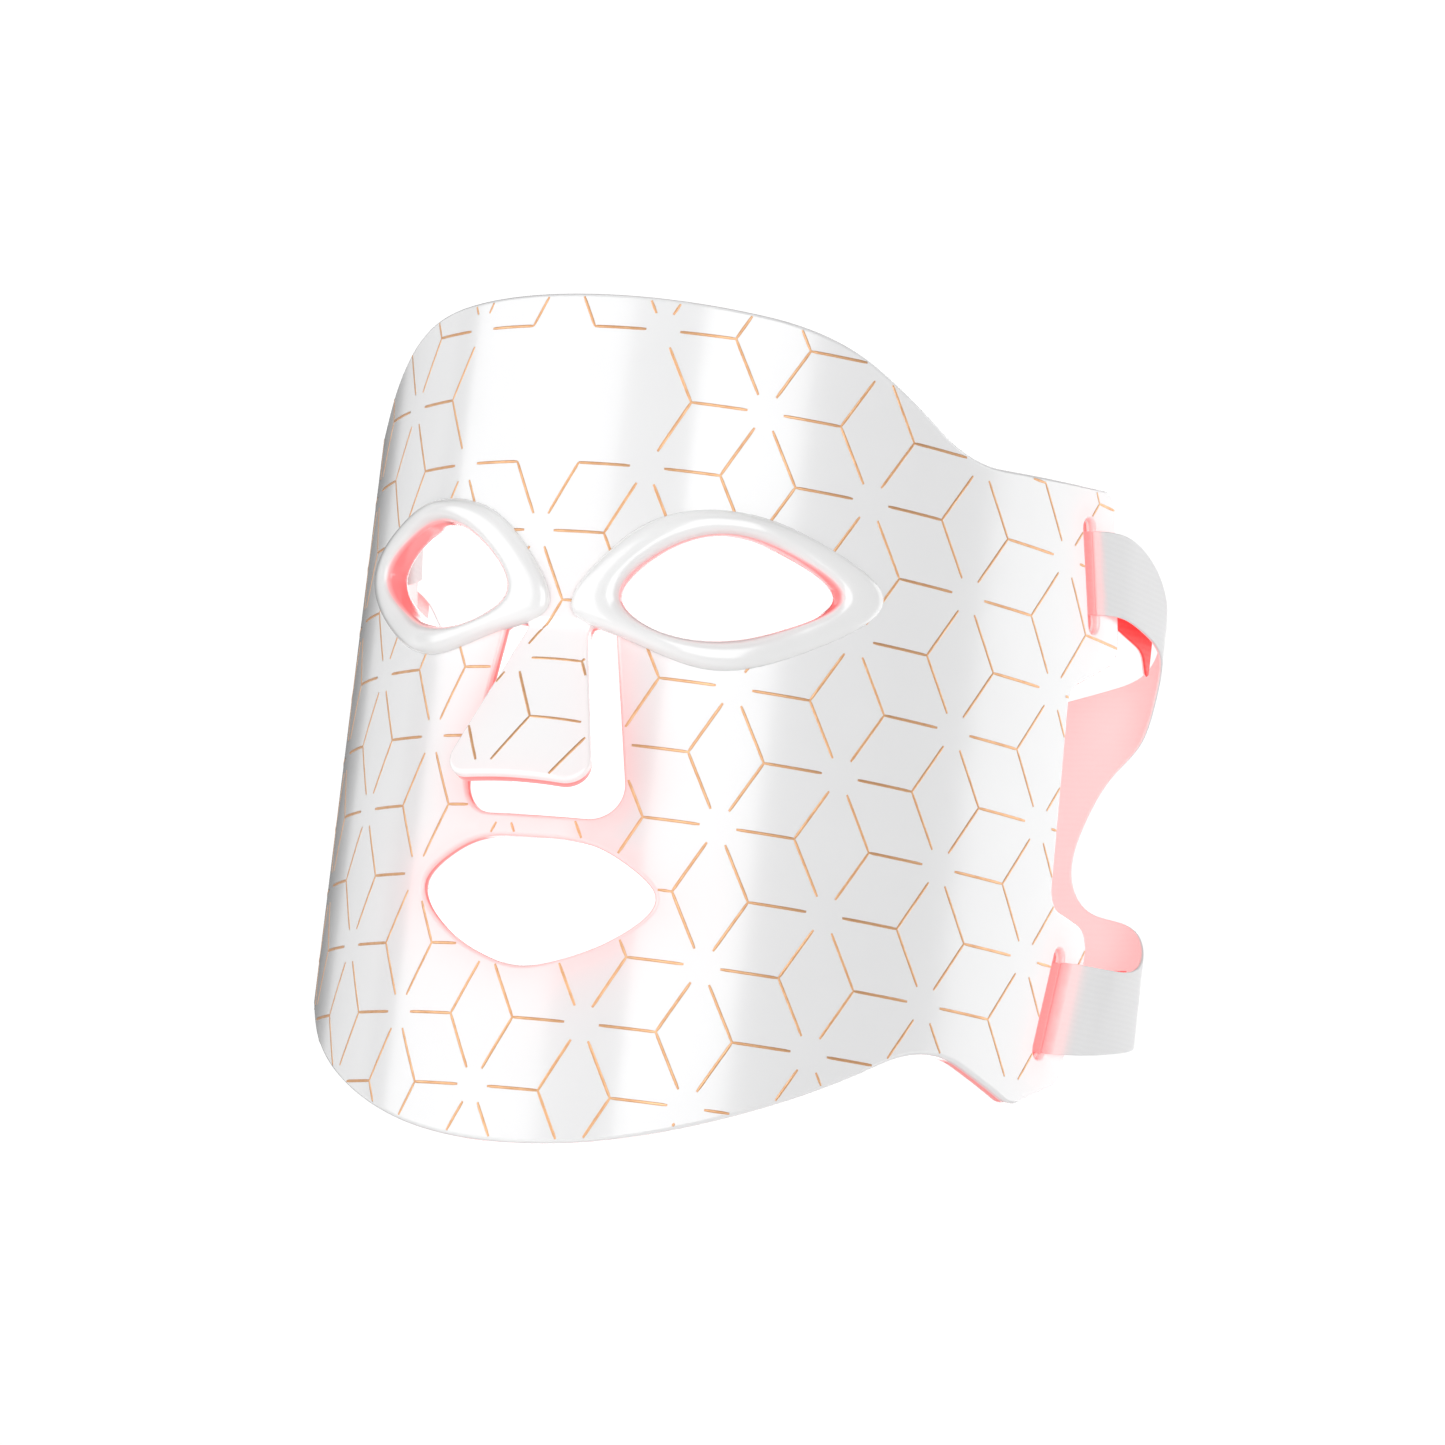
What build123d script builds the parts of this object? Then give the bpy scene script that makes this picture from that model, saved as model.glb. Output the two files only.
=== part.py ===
from build123d import *
from math import asin, cos, degrees, pi, radians, sin, tan
import os

# A soft light-therapy face mask: a curved silicone shell with a light-emitting circuit inside, two eye rims,
# a hinged nose flap, two side wings and a four-armed head strap.
# Frame: +Z up, the mask looks towards -Y, +X is the wearer's left.
# Origin: on the face side of the liner, on the centre line, at the height of the eyes.
# "Depth" is the distance behind the foremost line of the shell, "inset" the distance in from its outer surface,
# "heading" the direction of the section curve, in degrees, 0 at the centre line and 90 along +Y.

# ---------------------------------------------------------------- driving dimensions, mm
wall = 3.4                  # shell, circuit and liner together
shell_inset = 1.4           # inner face of the outer shell
circuit_inset = 1.8         # inner face of the flexible circuit
section_arcs = ((58.0, 32.0), (95.0, 26.5), (165.0, 24.5))      # radius and turn of each arc, front to back
hinge_heading = 57.0        # where the wings flex
hinge_gap = 1.6             # width of the flexing strip
reach = 130.0               # half width of every cutting prism
sheet_bottom, sheet_top = -125.0, 65.0

# side view of the sheet: depth, height and corner radius
side_outline = (
    (-6.0, 58.9, 1.0), (20.0, 56.0, 40.0), (50.0, 36.0, 25.0), (98.5, 40.8, 4.0),
    (109.5, 6.0, 5.5), (88.5, -4.0, 6.0), (90.0, -50.5, 5.0), (109.5, -53.5, 6.0),
    (101.8, -87.0, 7.0), (83.0, -94.0, 9.0), (55.0, -85.0, 25.0), (-6.0, -120.3, 1.0),
)

# front view of the openings: x and height
eye_opening = ((12.8, -5.0), (19.0, 5.0), (32.0, 10.8), (44.0, 8.0),
               (50.8, 2.5), (43.0, -6.3), (30.0, -11.3), (17.5, -9.3))
eye_rim_edge = ((2.6, -7.5), (8.0, 3.5), (20.0, 13.3), (34.0, 15.7), (48.0, 11.7),
                (57.0, 4.3), (47.0, -10.0), (31.0, -17.2), (13.0, -12.6))
eye_seat_margin = 2.2       # the shell's hole is this much wider than the eye opening
rim_proud = 2.2
rim_flange = 1.2            # grip flange on the face side
rim_flange_margin = 4.6
mouth_opening = ((0.0, -54.8), (12.0, -55.4), (21.0, -59.5), (25.8, -64.5), (20.0, -73.0), (9.0, -79.0),
                 (0.0, -81.0), (-9.0, -79.0), (-20.0, -73.0), (-25.8, -64.5), (-21.0, -59.5), (-12.0, -55.4))
nose_top, nose_bottom = -10.5, -50.0
nose_top_half, nose_bottom_half = 12.0, 18.7
nose_radius = 7.0

# nose flap
flap_axis_z = -11.7
flap_gap = 1.2              # from the flap's hinge axis to its top edge
flap_bottom = -48.4
flap_top_half, flap_bottom_half = 6.8, 17.2
flap_radius = 5.0
flap_tilt = 25.0            # how far the flap stands out at rest

# strap slots: depth, height of the centre, lean from upright
slot_width, slot_length = 4.0, 24.5
upper_slot = (92.3, 21.3, 17.5)
lower_slot = (93.5, -70.8, -12.9)
bar_width = 9.8             # shell left between a slot and the back edge of its tab

# lights
led_side, led_height = 2.8, 0.8
led_pitch_across, led_pitch_up = 14.0, 12.0
led_edge_margin, led_hole_margin = 8.0, 5.0
led_pocket_radius, led_pocket_depth = 2.6, 1.0
circuit_edge_margin, circuit_hole_margin = 4.0, 3.0

# head strap
strap_thickness = 1.3
strap_width = 20.0
strap_clearance = 0.4       # between webbing and wall
bar_clearance = 0.95        # between webbing and the two edges of a bar
strap_shift = 1.45          # the strap sits this far to the left, because its right ends tuck inside the tails
strap_half_width = 85.4
strap_corner = 14.0
strap_back_depth = 143.9
strap_back_radius = 500.0
strap_side_heading = 87.0
pad_thickness, pad_length, pad_height = 0.6, 10.0, 15.0
pad_glue = 0.02
pad_depth = 117.6           # middle of the loop pads on the arms
upper_pad_height, lower_pad_height = 20.3, -68.2
left_tail = (2.75, 3.0)     # distance from the middle of the bar, and lean towards the face
right_tail = (-2.75, 6.0)
tail_axis_back = 1.4        # from the back of the loop to the tail's hinge axis

# side view of an arm (depth, height) up to the corner, and front view of the back panel (x, height)
arm_turn_depth, arm_turn_x = 134.5, 81.3
upper_arm_top = ((104.5, 31.5), (118.0, 29.6), (127.0, 20.5), (134.5, 12.5))
upper_arm_bottom = ((134.5, -4.0), (129.0, 2.5), (121.0, 9.0), (110.5, 12.5))
lower_arm_top = ((111.0, -60.5), (121.0, -58.6), (129.0, -55.0), (134.5, -50.0))
lower_arm_bottom = ((134.5, -73.0), (129.0, -74.8), (121.0, -77.0), (106.4, -80.0))
panel_top = ((81.3, 12.5), (66.0, 2.5), (40.0, -7.5), (0.0, -13.0))
panel_notch = ((81.3, -4.0), (72.0, -18.0), (66.0, -36.0), (71.0, -46.0), (81.3, -50.0))
panel_bottom = ((81.3, -73.0), (60.0, -66.0), (30.0, -59.5), (0.0, -57.0))
upper_tail = ((105.4, 30.3), (117.0, 28.6), (122.8, 24.0), (122.8, 9.6), (110.7, 13.6))
lower_tail = ((110.8, -61.6), (122.8, -59.2), (122.8, -75.6), (106.9, -78.9))

# socket and driver board in the right wing
socket_depth, socket_height = 77.5, -27.0
board = (18.0, 22.0, 0.6)
board_inset = 2.5
boss = (24.0, 26.0, 7.4)    # length, height, inset of its face
socket = (7.35, 8.94, 3.26)


# ---------------------------------------------------------------- section curve
def arc_list():
    """Arcs of the outer section: centre, radius and the headings each arc spans."""
    arcs = []
    centre_x, centre_y, start = 0.0, section_arcs[0][0] - wall, 0.0
    for index, (radius, turn) in enumerate(section_arcs):
        if index:
            step = radius - section_arcs[index - 1][0]
            centre_x -= step * sin(radians(start))
            centre_y += step * cos(radians(start))
        arcs.append((centre_x, centre_y, radius, start, start + turn))
        start += turn
    return arcs


ARCS = arc_list()
END_HEADING = ARCS[-1][4]


def section_point(heading, inset=0.0):
    """Point of the section at a heading, moved inwards by inset."""
    side = -1.0 if heading < 0 else 1.0
    turned = abs(heading)
    arc = next(item for item in ARCS if turned <= item[4] + 1e-9)
    radius = arc[2] - inset
    return side * (arc[0] + radius * sin(radians(turned))), arc[1] - radius * cos(radians(turned))


def heading_at_depth(depth, inset=0.0):
    """Heading where the surface at an inset is this deep, found by halving."""
    low, high = 0.0, END_HEADING
    while high - low > 1e-6:
        middle = (low + high) / 2
        if section_point(middle, inset)[1] + wall < depth:
            low = middle
        else:
            high = middle
    return low


def heading_at_length(length):
    """Heading at a length measured along the outer section from the centre line."""
    left = abs(length)
    for _, _, radius, start, stop in ARCS:
        span = radians(stop - start) * radius
        if left <= span:
            return (start + degrees(left / radius)) * (1 if length >= 0 else -1)
        left -= span
    return END_HEADING * (1 if length >= 0 else -1)


def section_edges(start, stop, inset):
    """Tangent arcs of the section between two headings."""
    breaks = sorted({sign * arc[4] for arc in ARCS for sign in (-1, 1)})
    stations = [start] + [value for value in breaks if start < value < stop] + [stop]
    edges = []
    for a, b in zip(stations, stations[1:]):
        if b - a > 1e-6:
            ends = [section_point(value, inset) for value in (a, (a + b) / 2, b)]
            edges.append(ThreePointArc(*ends))
    return edges


def sheet(start, stop, outer_inset, inner_inset):
    """Upright curved sheet between two headings and two insets."""
    outer = section_edges(start, stop, outer_inset)
    inner = section_edges(start, stop, inner_inset)
    ends = [Line(section_point(value, outer_inset), section_point(value, inner_inset)) for value in (start, stop)]
    face = make_face(outer + inner + ends)
    return extrude(Pos(0, 0, sheet_bottom) * face, sheet_top - sheet_bottom, dir=(0, 0, 1))


# ---------------------------------------------------------------- outlines
def side_face(margin=0.0):
    """Side view of the sheet, drawn in depth and height, shrunk by margin."""
    points = [(depth, height) for depth, height, _ in side_outline]
    outline = FilletPolyline(*points, radius=[corner for _, _, corner in side_outline], close=True)
    face = make_face(outline)
    return offset(face, -margin, kind=Kind.INTERSECTION) if margin else face


def spline_face(points, margin=0.0):
    """Front view of a smooth opening, whose points run clockwise, widened by margin."""
    moved = []
    for before, point, after in zip(points[-1:] + points[:-1], points, points[1:] + points[:1]):
        along = Vector(after[0] - before[0], after[1] - before[1]).normalized()
        moved.append((point[0] - along.Y * margin, point[1] + along.X * margin))
    return make_face(Spline(*moved, periodic=True))


def mirrored(points):
    """The points on the other side of the centre line, in reverse, so that they still run clockwise."""
    return tuple((-x, z) for x, z in reversed(points))


def trapezoid_face(top, top_half, bottom, bottom_half, top_radius, bottom_radius):
    points = ((-top_half, top), (top_half, top), (bottom_half, bottom), (-bottom_half, bottom))
    radii = [top_radius, top_radius, bottom_radius, bottom_radius]
    return make_face(FilletPolyline(*points, radius=radii, close=True))


def nose_face(margin=0.0):
    face = trapezoid_face(nose_top, nose_top_half, nose_bottom, nose_bottom_half, 3.0, nose_radius)
    return offset(face, margin) if margin else face


def through_front(face, back=60.0):
    """Prism along Y through the front of the mask, from a face drawn in x and height."""
    upright = Plane((0, -wall - 8, 0), x_dir=(1, 0, 0), z_dir=(0, -1, 0))
    return extrude(upright * face, -back - 8)


def through_sides(face):
    """Prism along X through both wings, from a face drawn in depth and height."""
    upright = Plane((-reach, -wall, 0), x_dir=(0, 1, 0), z_dir=(1, 0, 0))
    return extrude(upright * face, 2 * reach)


def slot_face(slot, margin=0.0):
    depth, height, lean = slot
    shape = SlotOverall(slot_length + 2 * margin, slot_width + 2 * margin)
    return Pos(depth, height) * Rot(0, 0, 90 + lean) * shape


def openings(margin=0.0):
    """Eye, mouth and nose holes of the layered sheet, widened by margin."""
    return [
        through_front(spline_face(eye_opening, eye_seat_margin + margin)),
        through_front(spline_face(mirrored(eye_opening), eye_seat_margin + margin)),
        through_front(spline_face(mouth_opening, margin)),
        through_front(nose_face(margin)),
    ]


def slots(margin=0.0):
    return [through_sides(slot_face(slot, margin)) for slot in (upper_slot, lower_slot)]


# ---------------------------------------------------------------- pieces
parts = {}


def keep(name, *solids):
    parts[name] = list(solids)


half_gap_heading = degrees(hinge_gap / 2 / section_arcs[1][0])
front_stop = hinge_heading - half_gap_heading
wing_start = hinge_heading + half_gap_heading
SPANS = {"front": (-front_stop, front_stop), "left_wing": (wing_start, END_HEADING),
         "right_wing": (-END_HEADING, -wing_start)}


def layered_piece(name, outer_inset, inner_inset, edge_margin, hole_margin):
    """One layer of the sheet over the front or a wing."""
    start, stop = SPANS[name]
    solid = sheet(start, stop, outer_inset, inner_inset) & through_sides(side_face(edge_margin))
    cutters = openings(hole_margin) if name == "front" else slots(hole_margin)
    for cutter in cutters:
        solid = solid - cutter
    return solid


def surface_plane(length, height, inset):
    """Plane on the sheet: x along the section, z into the face side, at a length from the centre line."""
    heading = heading_at_length(length)
    x, y = section_point(heading, inset)
    angle = radians(heading)
    return Plane((x, y, height), x_dir=(cos(angle), sin(angle), 0), z_dir=(-sin(angle), cos(angle), 0))


def led_places():
    """Staggered grid of lights, kept clear of the edges, holes and slots."""
    outline = side_face(led_edge_margin)
    holes = [spline_face(eye_opening, eye_seat_margin + led_hole_margin), nose_face(led_hole_margin),
             spline_face(mouth_opening, led_hole_margin)]
    tab_holes = [slot_face(slot, led_hole_margin) for slot in (upper_slot, lower_slot)]
    strip = (hinge_gap / 2 + led_hole_margin)
    hinge_length = sum(radians(turn) * radius for radius, turn in section_arcs[:1])
    hinge_length += radians(hinge_heading - section_arcs[0][1]) * section_arcs[1][0]
    places = []
    for row in range(-10, 6):
        height = row * led_pitch_up
        shift = led_pitch_across / 2 if row % 2 else 0.0
        for column in range(-11, 12):
            length = column * led_pitch_across + shift
            x, y = section_point(heading_at_length(length))
            depth = y + wall
            if abs(length) > 140 or not outline.is_inside(Vector(depth, height, 0)):
                continue
            if depth < 45 and any(hole.is_inside(Vector(abs(x), height, 0)) for hole in holes):
                continue
            if depth > 70 and any(hole.is_inside(Vector(depth, height, 0)) for hole in tab_holes):
                continue
            if abs(abs(length) - hinge_length) < strip:
                continue
            places.append((length, height))
    return places, hinge_length


LED_PLACES, HINGE_LENGTH = led_places()
led_seat = circuit_inset + 0.03


def led_at(length, height):
    lift = Pos(0, 0, led_height / 2)
    return surface_plane(length, height, led_seat) * lift * Box(led_side, led_side, led_height)


def pocket_at(length, height):
    start = circuit_inset - 0.3
    depth = led_pocket_depth + 0.3
    return surface_plane(length, height, start) * Pos(0, 0, depth / 2) * Cylinder(led_pocket_radius, depth)


# layers of the front and the wings
for place in SPANS:
    keep("outer_shell_" + place, layered_piece(place, 0.0, shell_inset, 0.0, 0.0))
    keep("flex_circuit_" + place,
         layered_piece(place, shell_inset, circuit_inset, circuit_edge_margin, circuit_hole_margin))
    keep("inner_liner_" + place, layered_piece(place, circuit_inset, wall, 0.0, 0.0))

# driver board, its parts and the charging socket, in the right wing
socket_heading = heading_at_depth(socket_depth)
socket_x, socket_y = section_point(socket_heading)
turn_in = radians(socket_heading)
socket_plane = Plane((-socket_x, socket_y, socket_height), x_dir=(-cos(turn_in), sin(turn_in), 0),
                     z_dir=(sin(turn_in), cos(turn_in), 0))


def socket_box(u, v, w, size):
    """Box in the socket's frame: u back along the wing, v up or down, w inset of its lower face."""
    return socket_plane * Pos(u, v, w + size[2] / 2) * Box(*size)


right_liner = parts["inner_liner_right_wing"][0]
boss_floor = 2.6
boss_block = socket_box(0, 0, boss_floor, (boss[0], boss[1], boss[2] - boss_floor))
boss_block = fillet(boss_block.faces().sort_by(Axis((0, 0, 0), (1, 0, 0)))[-1].edges(), 1.2)
board_pocket = socket_box(0, 0, 1.0, (board[0] + 0.4, board[1] + 0.4, 3.3))
socket_u = boss[0] / 2 - socket[0] / 2
socket_w = board_inset + board[2]
socket_pocket = socket_box(socket_u, 0, socket_w - 0.1, (socket[0] + 0.4, socket[1] + 0.3, socket[2] + 0.2))
board_pocket = board_pocket & sheet(-END_HEADING, -wing_start, circuit_inset, 12.0)
right_liner = right_liner + boss_block - board_pocket - socket_pocket
keep("inner_liner_right_wing", right_liner)
keep("driver_board", socket_box(0, 0, board_inset, board))
chip_row = [socket_box(-5.0, v, socket_w, (4.0, 4.0, 0.9)) for v in (-6.5, 0.0, 6.5)]
keep("driver_chips", *chip_row)
capacitor_row = [socket_box(0.8, v, socket_w, (1.2, 2.0, 0.8)) for v in (-9.0, -6.4, 6.4, 9.0)]
keep("board_capacitors", *capacitor_row)
socket_wall = 0.35
shell_outer = RectangleRounded(socket[1], socket[2], socket[2] / 2 - 0.05)
shell_inner = RectangleRounded(socket[1] - 2 * socket_wall, socket[2] - 2 * socket_wall,
                               socket[2] / 2 - socket_wall - 0.05)
mouth = socket_plane * Pos(boss[0] / 2, 0, socket_w + socket[2] / 2) * Rot(0, 90, 0) * Rot(0, 0, 90)
back_wall = 0.6
shell_tube = mouth * extrude(shell_outer, -socket[0]) - mouth * extrude(shell_inner, -socket[0] + back_wall)
keep("usb_socket_shell", shell_tube)
tongue = socket_plane * Pos(boss[0] / 2 - 3.6, 0, socket_w + socket[2] / 2) * Box(6.3, 6.7, 0.7)
keep("usb_socket_tongue", tongue)


# lights, each in its pocket in the liner
def near_socket(length, height):
    x, y = section_point(heading_at_length(length))
    reach_back = abs(y - socket_y) < boss[0] / 2 + led_pocket_radius + 1
    return length < 0 and reach_back and abs(height - socket_height) < boss[1] / 2 + led_pocket_radius


groups = {"leds_forehead": [], "leds_cheeks": [], "leds_chin": [], "leds_left_wing": [], "leds_right_wing": []}
for length, height in LED_PLACES:
    if near_socket(length, height):
        continue
    if abs(length) > HINGE_LENGTH:
        group = "leds_left_wing" if length > 0 else "leds_right_wing"
    elif height > 15:
        group = "leds_forehead"
    else:
        group = "leds_chin" if height < -50 else "leds_cheeks"
    groups[group].append((length, height))
for group, places in groups.items():
    keep(group, *[led_at(*place) for place in places])
    liner = {"leds_left_wing": "inner_liner_left_wing", "leds_right_wing": "inner_liner_right_wing"}
    name = liner.get(group, "inner_liner_front")
    keep(name, parts[name][0] - [pocket_at(*place) for place in places])


# eye rims: a crown over the shell, a neck through the wall and a grip flange on the face side
def eye_rim(points, edge):
    opening = through_front(spline_face(points))
    crown = sheet(-front_stop, front_stop, -rim_proud, 0.0) & through_front(spline_face(edge))
    neck = sheet(-front_stop, front_stop, 0.0, wall)
    neck = neck & through_front(spline_face(points, eye_seat_margin - 0.05))
    grip = sheet(-front_stop, front_stop, wall, wall + rim_flange)
    grip = grip & through_front(spline_face(points, rim_flange_margin))
    return crown + neck + grip - opening


keep("eye_rim_left", eye_rim(eye_opening, eye_rim_edge))
keep("eye_rim_right", eye_rim(mirrored(eye_opening), mirrored(eye_rim_edge)))

# nose flap, made flush with the sheet and then tilted out about its hinge line
flap_axis = Axis((0, section_point(0, wall / 2)[1], flap_axis_z), (1, 0, 0))


def flap_layer(outer_inset, inner_inset, margin=0.0):
    top = flap_axis_z - flap_gap
    face = trapezoid_face(top, flap_top_half, flap_bottom, flap_bottom_half, 1.5, flap_radius)
    if margin:
        face = offset(face, -margin)
    return sheet(-30, 30, outer_inset, inner_inset) & through_front(face)


def tilt(solid):
    return solid.rotate(flap_axis, -flap_tilt)


flap_places = [(column * 10.0 + (5.0 if row == 1 else 0.0), -22.0 - row * 10.0)
               for row, columns in ((0, (0,)), (1, (-1, 0)), (2, (-1, 0, 1))) for column in columns]
flap_liner = flap_layer(circuit_inset, wall)
for place in flap_places:
    flap_liner = flap_liner - pocket_at(*place)
keep("nose_flap_shell", tilt(flap_layer(0.0, shell_inset)))
keep("nose_flap_circuit", tilt(flap_layer(shell_inset, circuit_inset, 2.0)))
keep("nose_flap_liner", tilt(flap_liner))
keep("nose_flap_leds", *[tilt(led_at(*place)) for place in flap_places])

# stiffening plates round the slots, inside the wall
plate_inset = circuit_inset


def slot_plate(slot):
    """Thin plate bonded between shell and liner, with the strap slot in it."""
    depth, height, lean = slot
    outline = Pos(depth, height) * Rot(0, 0, 90 + lean) * RectangleRounded(slot_length + 5.6, 11.0, 4.5)
    plate = sheet(wing_start, END_HEADING, shell_inset, plate_inset) & through_sides(outline)
    return plate - through_sides(slot_face(slot))


left_plates = [slot_plate(slot) for slot in (upper_slot, lower_slot)]
for name in ("left", "right"):
    circuit = parts["flex_circuit_" + name + "_wing"][0]
    for slot in (upper_slot, lower_slot):
        depth, height, lean = slot
        window = Pos(depth, height) * Rot(0, 0, 90 + lean) * RectangleRounded(slot_length + 7, 12.4, 5.0)
        circuit = circuit - through_sides(window)
    keep("flex_circuit_" + name + "_wing", *circuit.solids().sort_by(SortBy.VOLUME)[-1:])
keep("slot_plates_left", *left_plates)
keep("slot_plates_right", *[plate.mirror(Plane.YZ) for plate in left_plates])


# ---------------------------------------------------------------- strap
def bar_plane(slot):
    """Frame of the bar behind a slot: x back, across the bar; z up, along the slot."""
    depth, height, lean = slot
    away = slot_width / 2 + bar_width / 2
    bar_depth = depth + away * cos(radians(lean))
    bar_height = height + away * sin(radians(lean))
    heading = radians(heading_at_depth(bar_depth, wall / 2))
    x, y = section_point(degrees(heading), wall / 2)
    back = Vector(cos(heading), sin(heading), 0)
    up = Vector(0, 0, 1)
    across = back * cos(radians(lean)) + up * sin(radians(lean))
    along = up * cos(radians(lean)) - back * sin(radians(lean))
    return Plane((x, y, bar_height), x_dir=across, z_dir=along)


def strap_loop(slot):
    """Closed loop of webbing round the bar."""
    inside = (bar_width + 2 * bar_clearance, wall + 2 * strap_clearance)
    outside = tuple(value + 2 * strap_thickness for value in inside)
    ring = RectangleRounded(*outside, 2.6) - RectangleRounded(*inside, 1.3)
    return bar_plane(slot) * Pos(0, 0, -strap_width / 2) * extrude(ring, strap_width)


left_loops = [strap_loop(slot) for slot in (upper_slot, lower_slot)]
keep("strap_loops_left", *left_loops)
keep("strap_loops_right", *[loop.mirror(Plane.YZ) for loop in left_loops])


def strap_edges(shift_out):
    """Plan of the strap, left arm to right arm, moved outwards from its middle line."""
    back = strap_back_radius + shift_out
    corner = strap_corner + shift_out
    spread = asin((strap_half_width - strap_corner) / (strap_back_radius - strap_corner))
    back_centre = Vector(strap_shift, strap_back_depth - wall - strap_back_radius)
    offset_x = (strap_back_radius - strap_corner) * sin(spread)
    offset_y = (strap_back_radius - strap_corner) * cos(spread)
    finish = pi - radians(strap_side_heading)
    edges, ends = [], []
    back_points = [back_centre + Vector(back * sin(a), back * cos(a)) for a in (spread, 0, -spread)]
    edges.append(ThreePointArc(*back_points))
    for side in (1, -1):
        centre = back_centre + Vector(side * offset_x, offset_y)
        turns = (spread, (spread + finish) / 2, finish)
        points = [centre + Vector(side * corner * sin(a), corner * cos(a)) for a in turns]
        edges.append(ThreePointArc(*points))
        run = (points[-1].Y + wall - 100.0) / sin(finish)
        end = points[-1] - Vector(side * run * -cos(finish), run * sin(finish))
        edges.append(Line(points[-1], end))
        ends.append(end)
    return edges, ends


def strap_band(outer, inner):
    """Upright band that follows the strap's plan between two offsets."""
    outer_edges, outer_ends = strap_edges(outer)
    inner_edges, inner_ends = strap_edges(inner)
    caps = [Line(a, b) for a, b in zip(outer_ends, inner_ends)]
    face = make_face(outer_edges + inner_edges + caps)
    return extrude(Pos(0, 0, sheet_bottom) * face, sheet_top - sheet_bottom, dir=(0, 0, 1))


def closed_face(*runs):
    """Face inside smooth runs of points joined by straight lines."""
    edges = [Spline(*run) for run in runs]
    for run, following in zip(runs, runs[1:] + runs[:1]):
        if Vector(*run[-1]) != Vector(*following[0]):
            edges.append(Line(run[-1], following[0]))
    return make_face(edges)


def both_halves(run):
    """A run from the side to the centre line, carried on to the other side."""
    return run + mirrored(run[:-1])


def arm_face(level):
    if level == "upper":
        return closed_face(upper_arm_top, upper_arm_bottom)
    return closed_face(lower_arm_top, lower_arm_bottom)


def strap_outline():
    """Prisms of the four arms and of the back panel."""
    arms = [arm_face("upper"), arm_face("lower")]
    right_notch = mirrored(panel_notch)[::-1]
    panel = closed_face(both_halves(panel_top), right_notch, both_halves(panel_bottom)[::-1], panel_notch[::-1])
    back = through_front(Pos(strap_shift, 0) * panel, back=strap_back_depth + 20)
    return [through_sides(arm) for arm in arms] + [back]


def cut_strap(band):
    pieces = [band & prism for prism in strap_outline()]
    return pieces[0] + pieces[1] + pieces[2]


half_strap = strap_thickness / 2
keep("head_strap", cut_strap(strap_band(half_strap, -half_strap)))


def arm_pad(side, height):
    """Loop pad on an arm: on the inner face of a left arm and on the outer face of a right arm."""
    lean = radians(90 - strap_side_heading)
    spread = asin((strap_half_width - strap_corner) / (strap_back_radius - strap_corner))
    centre_x = strap_shift + side * (strap_back_radius - strap_corner) * sin(spread)
    centre_depth = strap_back_depth - strap_back_radius + (strap_back_radius - strap_corner) * cos(spread)
    corner_x = centre_x + side * strap_corner * cos(lean)
    corner_depth = centre_depth - strap_corner * sin(lean)
    x = corner_x - side * (corner_depth - pad_depth) * tan(lean)
    facing = -side if side > 0 else side
    away = half_strap + pad_thickness / 2 + pad_glue
    x += facing * away * cos(lean)
    turned = Pos(x, pad_depth - wall, height) * Rot(0, 0, -side * degrees(lean))
    return turned * Box(pad_thickness, pad_length, pad_height)


pads = [arm_pad(side, height) for side in (1, -1) for height in (upper_pad_height, lower_pad_height)]
keep("strap_loop_pads", *pads)


def tail_plane(slot, tail):
    """Frame at a tail's hinge axis: x back along the tail, z up along the slot."""
    away, lean = tail
    back = bar_width / 2 + bar_clearance + strap_thickness + tail_axis_back
    return bar_plane(slot) * Pos(back, away, 0) * Rot(0, 0, lean)


def tail_solids(slot, tail, outline, pad_middle):
    """Tail and its hook pad, on the left side of the mask."""
    away = tail[0]
    place = tail_plane(slot, tail)
    blank = (60.0, strap_thickness, 60.0)
    strip = place * Box(*blank) & through_sides(make_face(Polyline(*outline, close=True)))
    pad_y = (-1 if away > 0 else 1) * ((strap_thickness + pad_thickness) / 2 + pad_glue)
    pad_outline = Pos(pad_depth, pad_middle) * Rectangle(pad_length, pad_height)
    pad = place * Pos(0, pad_y, 0) * Box(blank[0], pad_thickness, blank[2]) & through_sides(pad_outline)
    left_half = Pos(reach / 2, pad_depth, 0) * Box(reach, 2 * reach, 2 * reach)
    return strip & left_half, pad & left_half


levels = (("upper", upper_slot, upper_tail, upper_pad_height), ("lower", lower_slot, lower_tail, lower_pad_height))
for level, slot, outline, middle in levels:
    strip, pad = tail_solids(slot, left_tail, outline, middle)
    keep(level + "_left_tail", strip)
    keep(level + "_left_hook_pad", pad)
    strip, pad = tail_solids(slot, right_tail, outline, middle)
    keep(level + "_right_tail", strip.mirror(Plane.YZ))
    keep(level + "_right_hook_pad", pad.mirror(Plane.YZ))

# ---------------------------------------------------------------- files
os.makedirs("parts", exist_ok=True)
for name, solids in parts.items():
    shape = solids[0] if len(solids) == 1 else Compound(children=solids)
    export_step(shape, "parts/" + name + ".step")
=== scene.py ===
from math import atan2, ceil, cos, pi, radians, sin, sqrt, tan

import bpy
import numpy as np
from mathutils import Matrix, Vector
from mathutils.geometry import delaunay_2d_cdt
from mathutils.kdtree import KDTree


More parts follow.
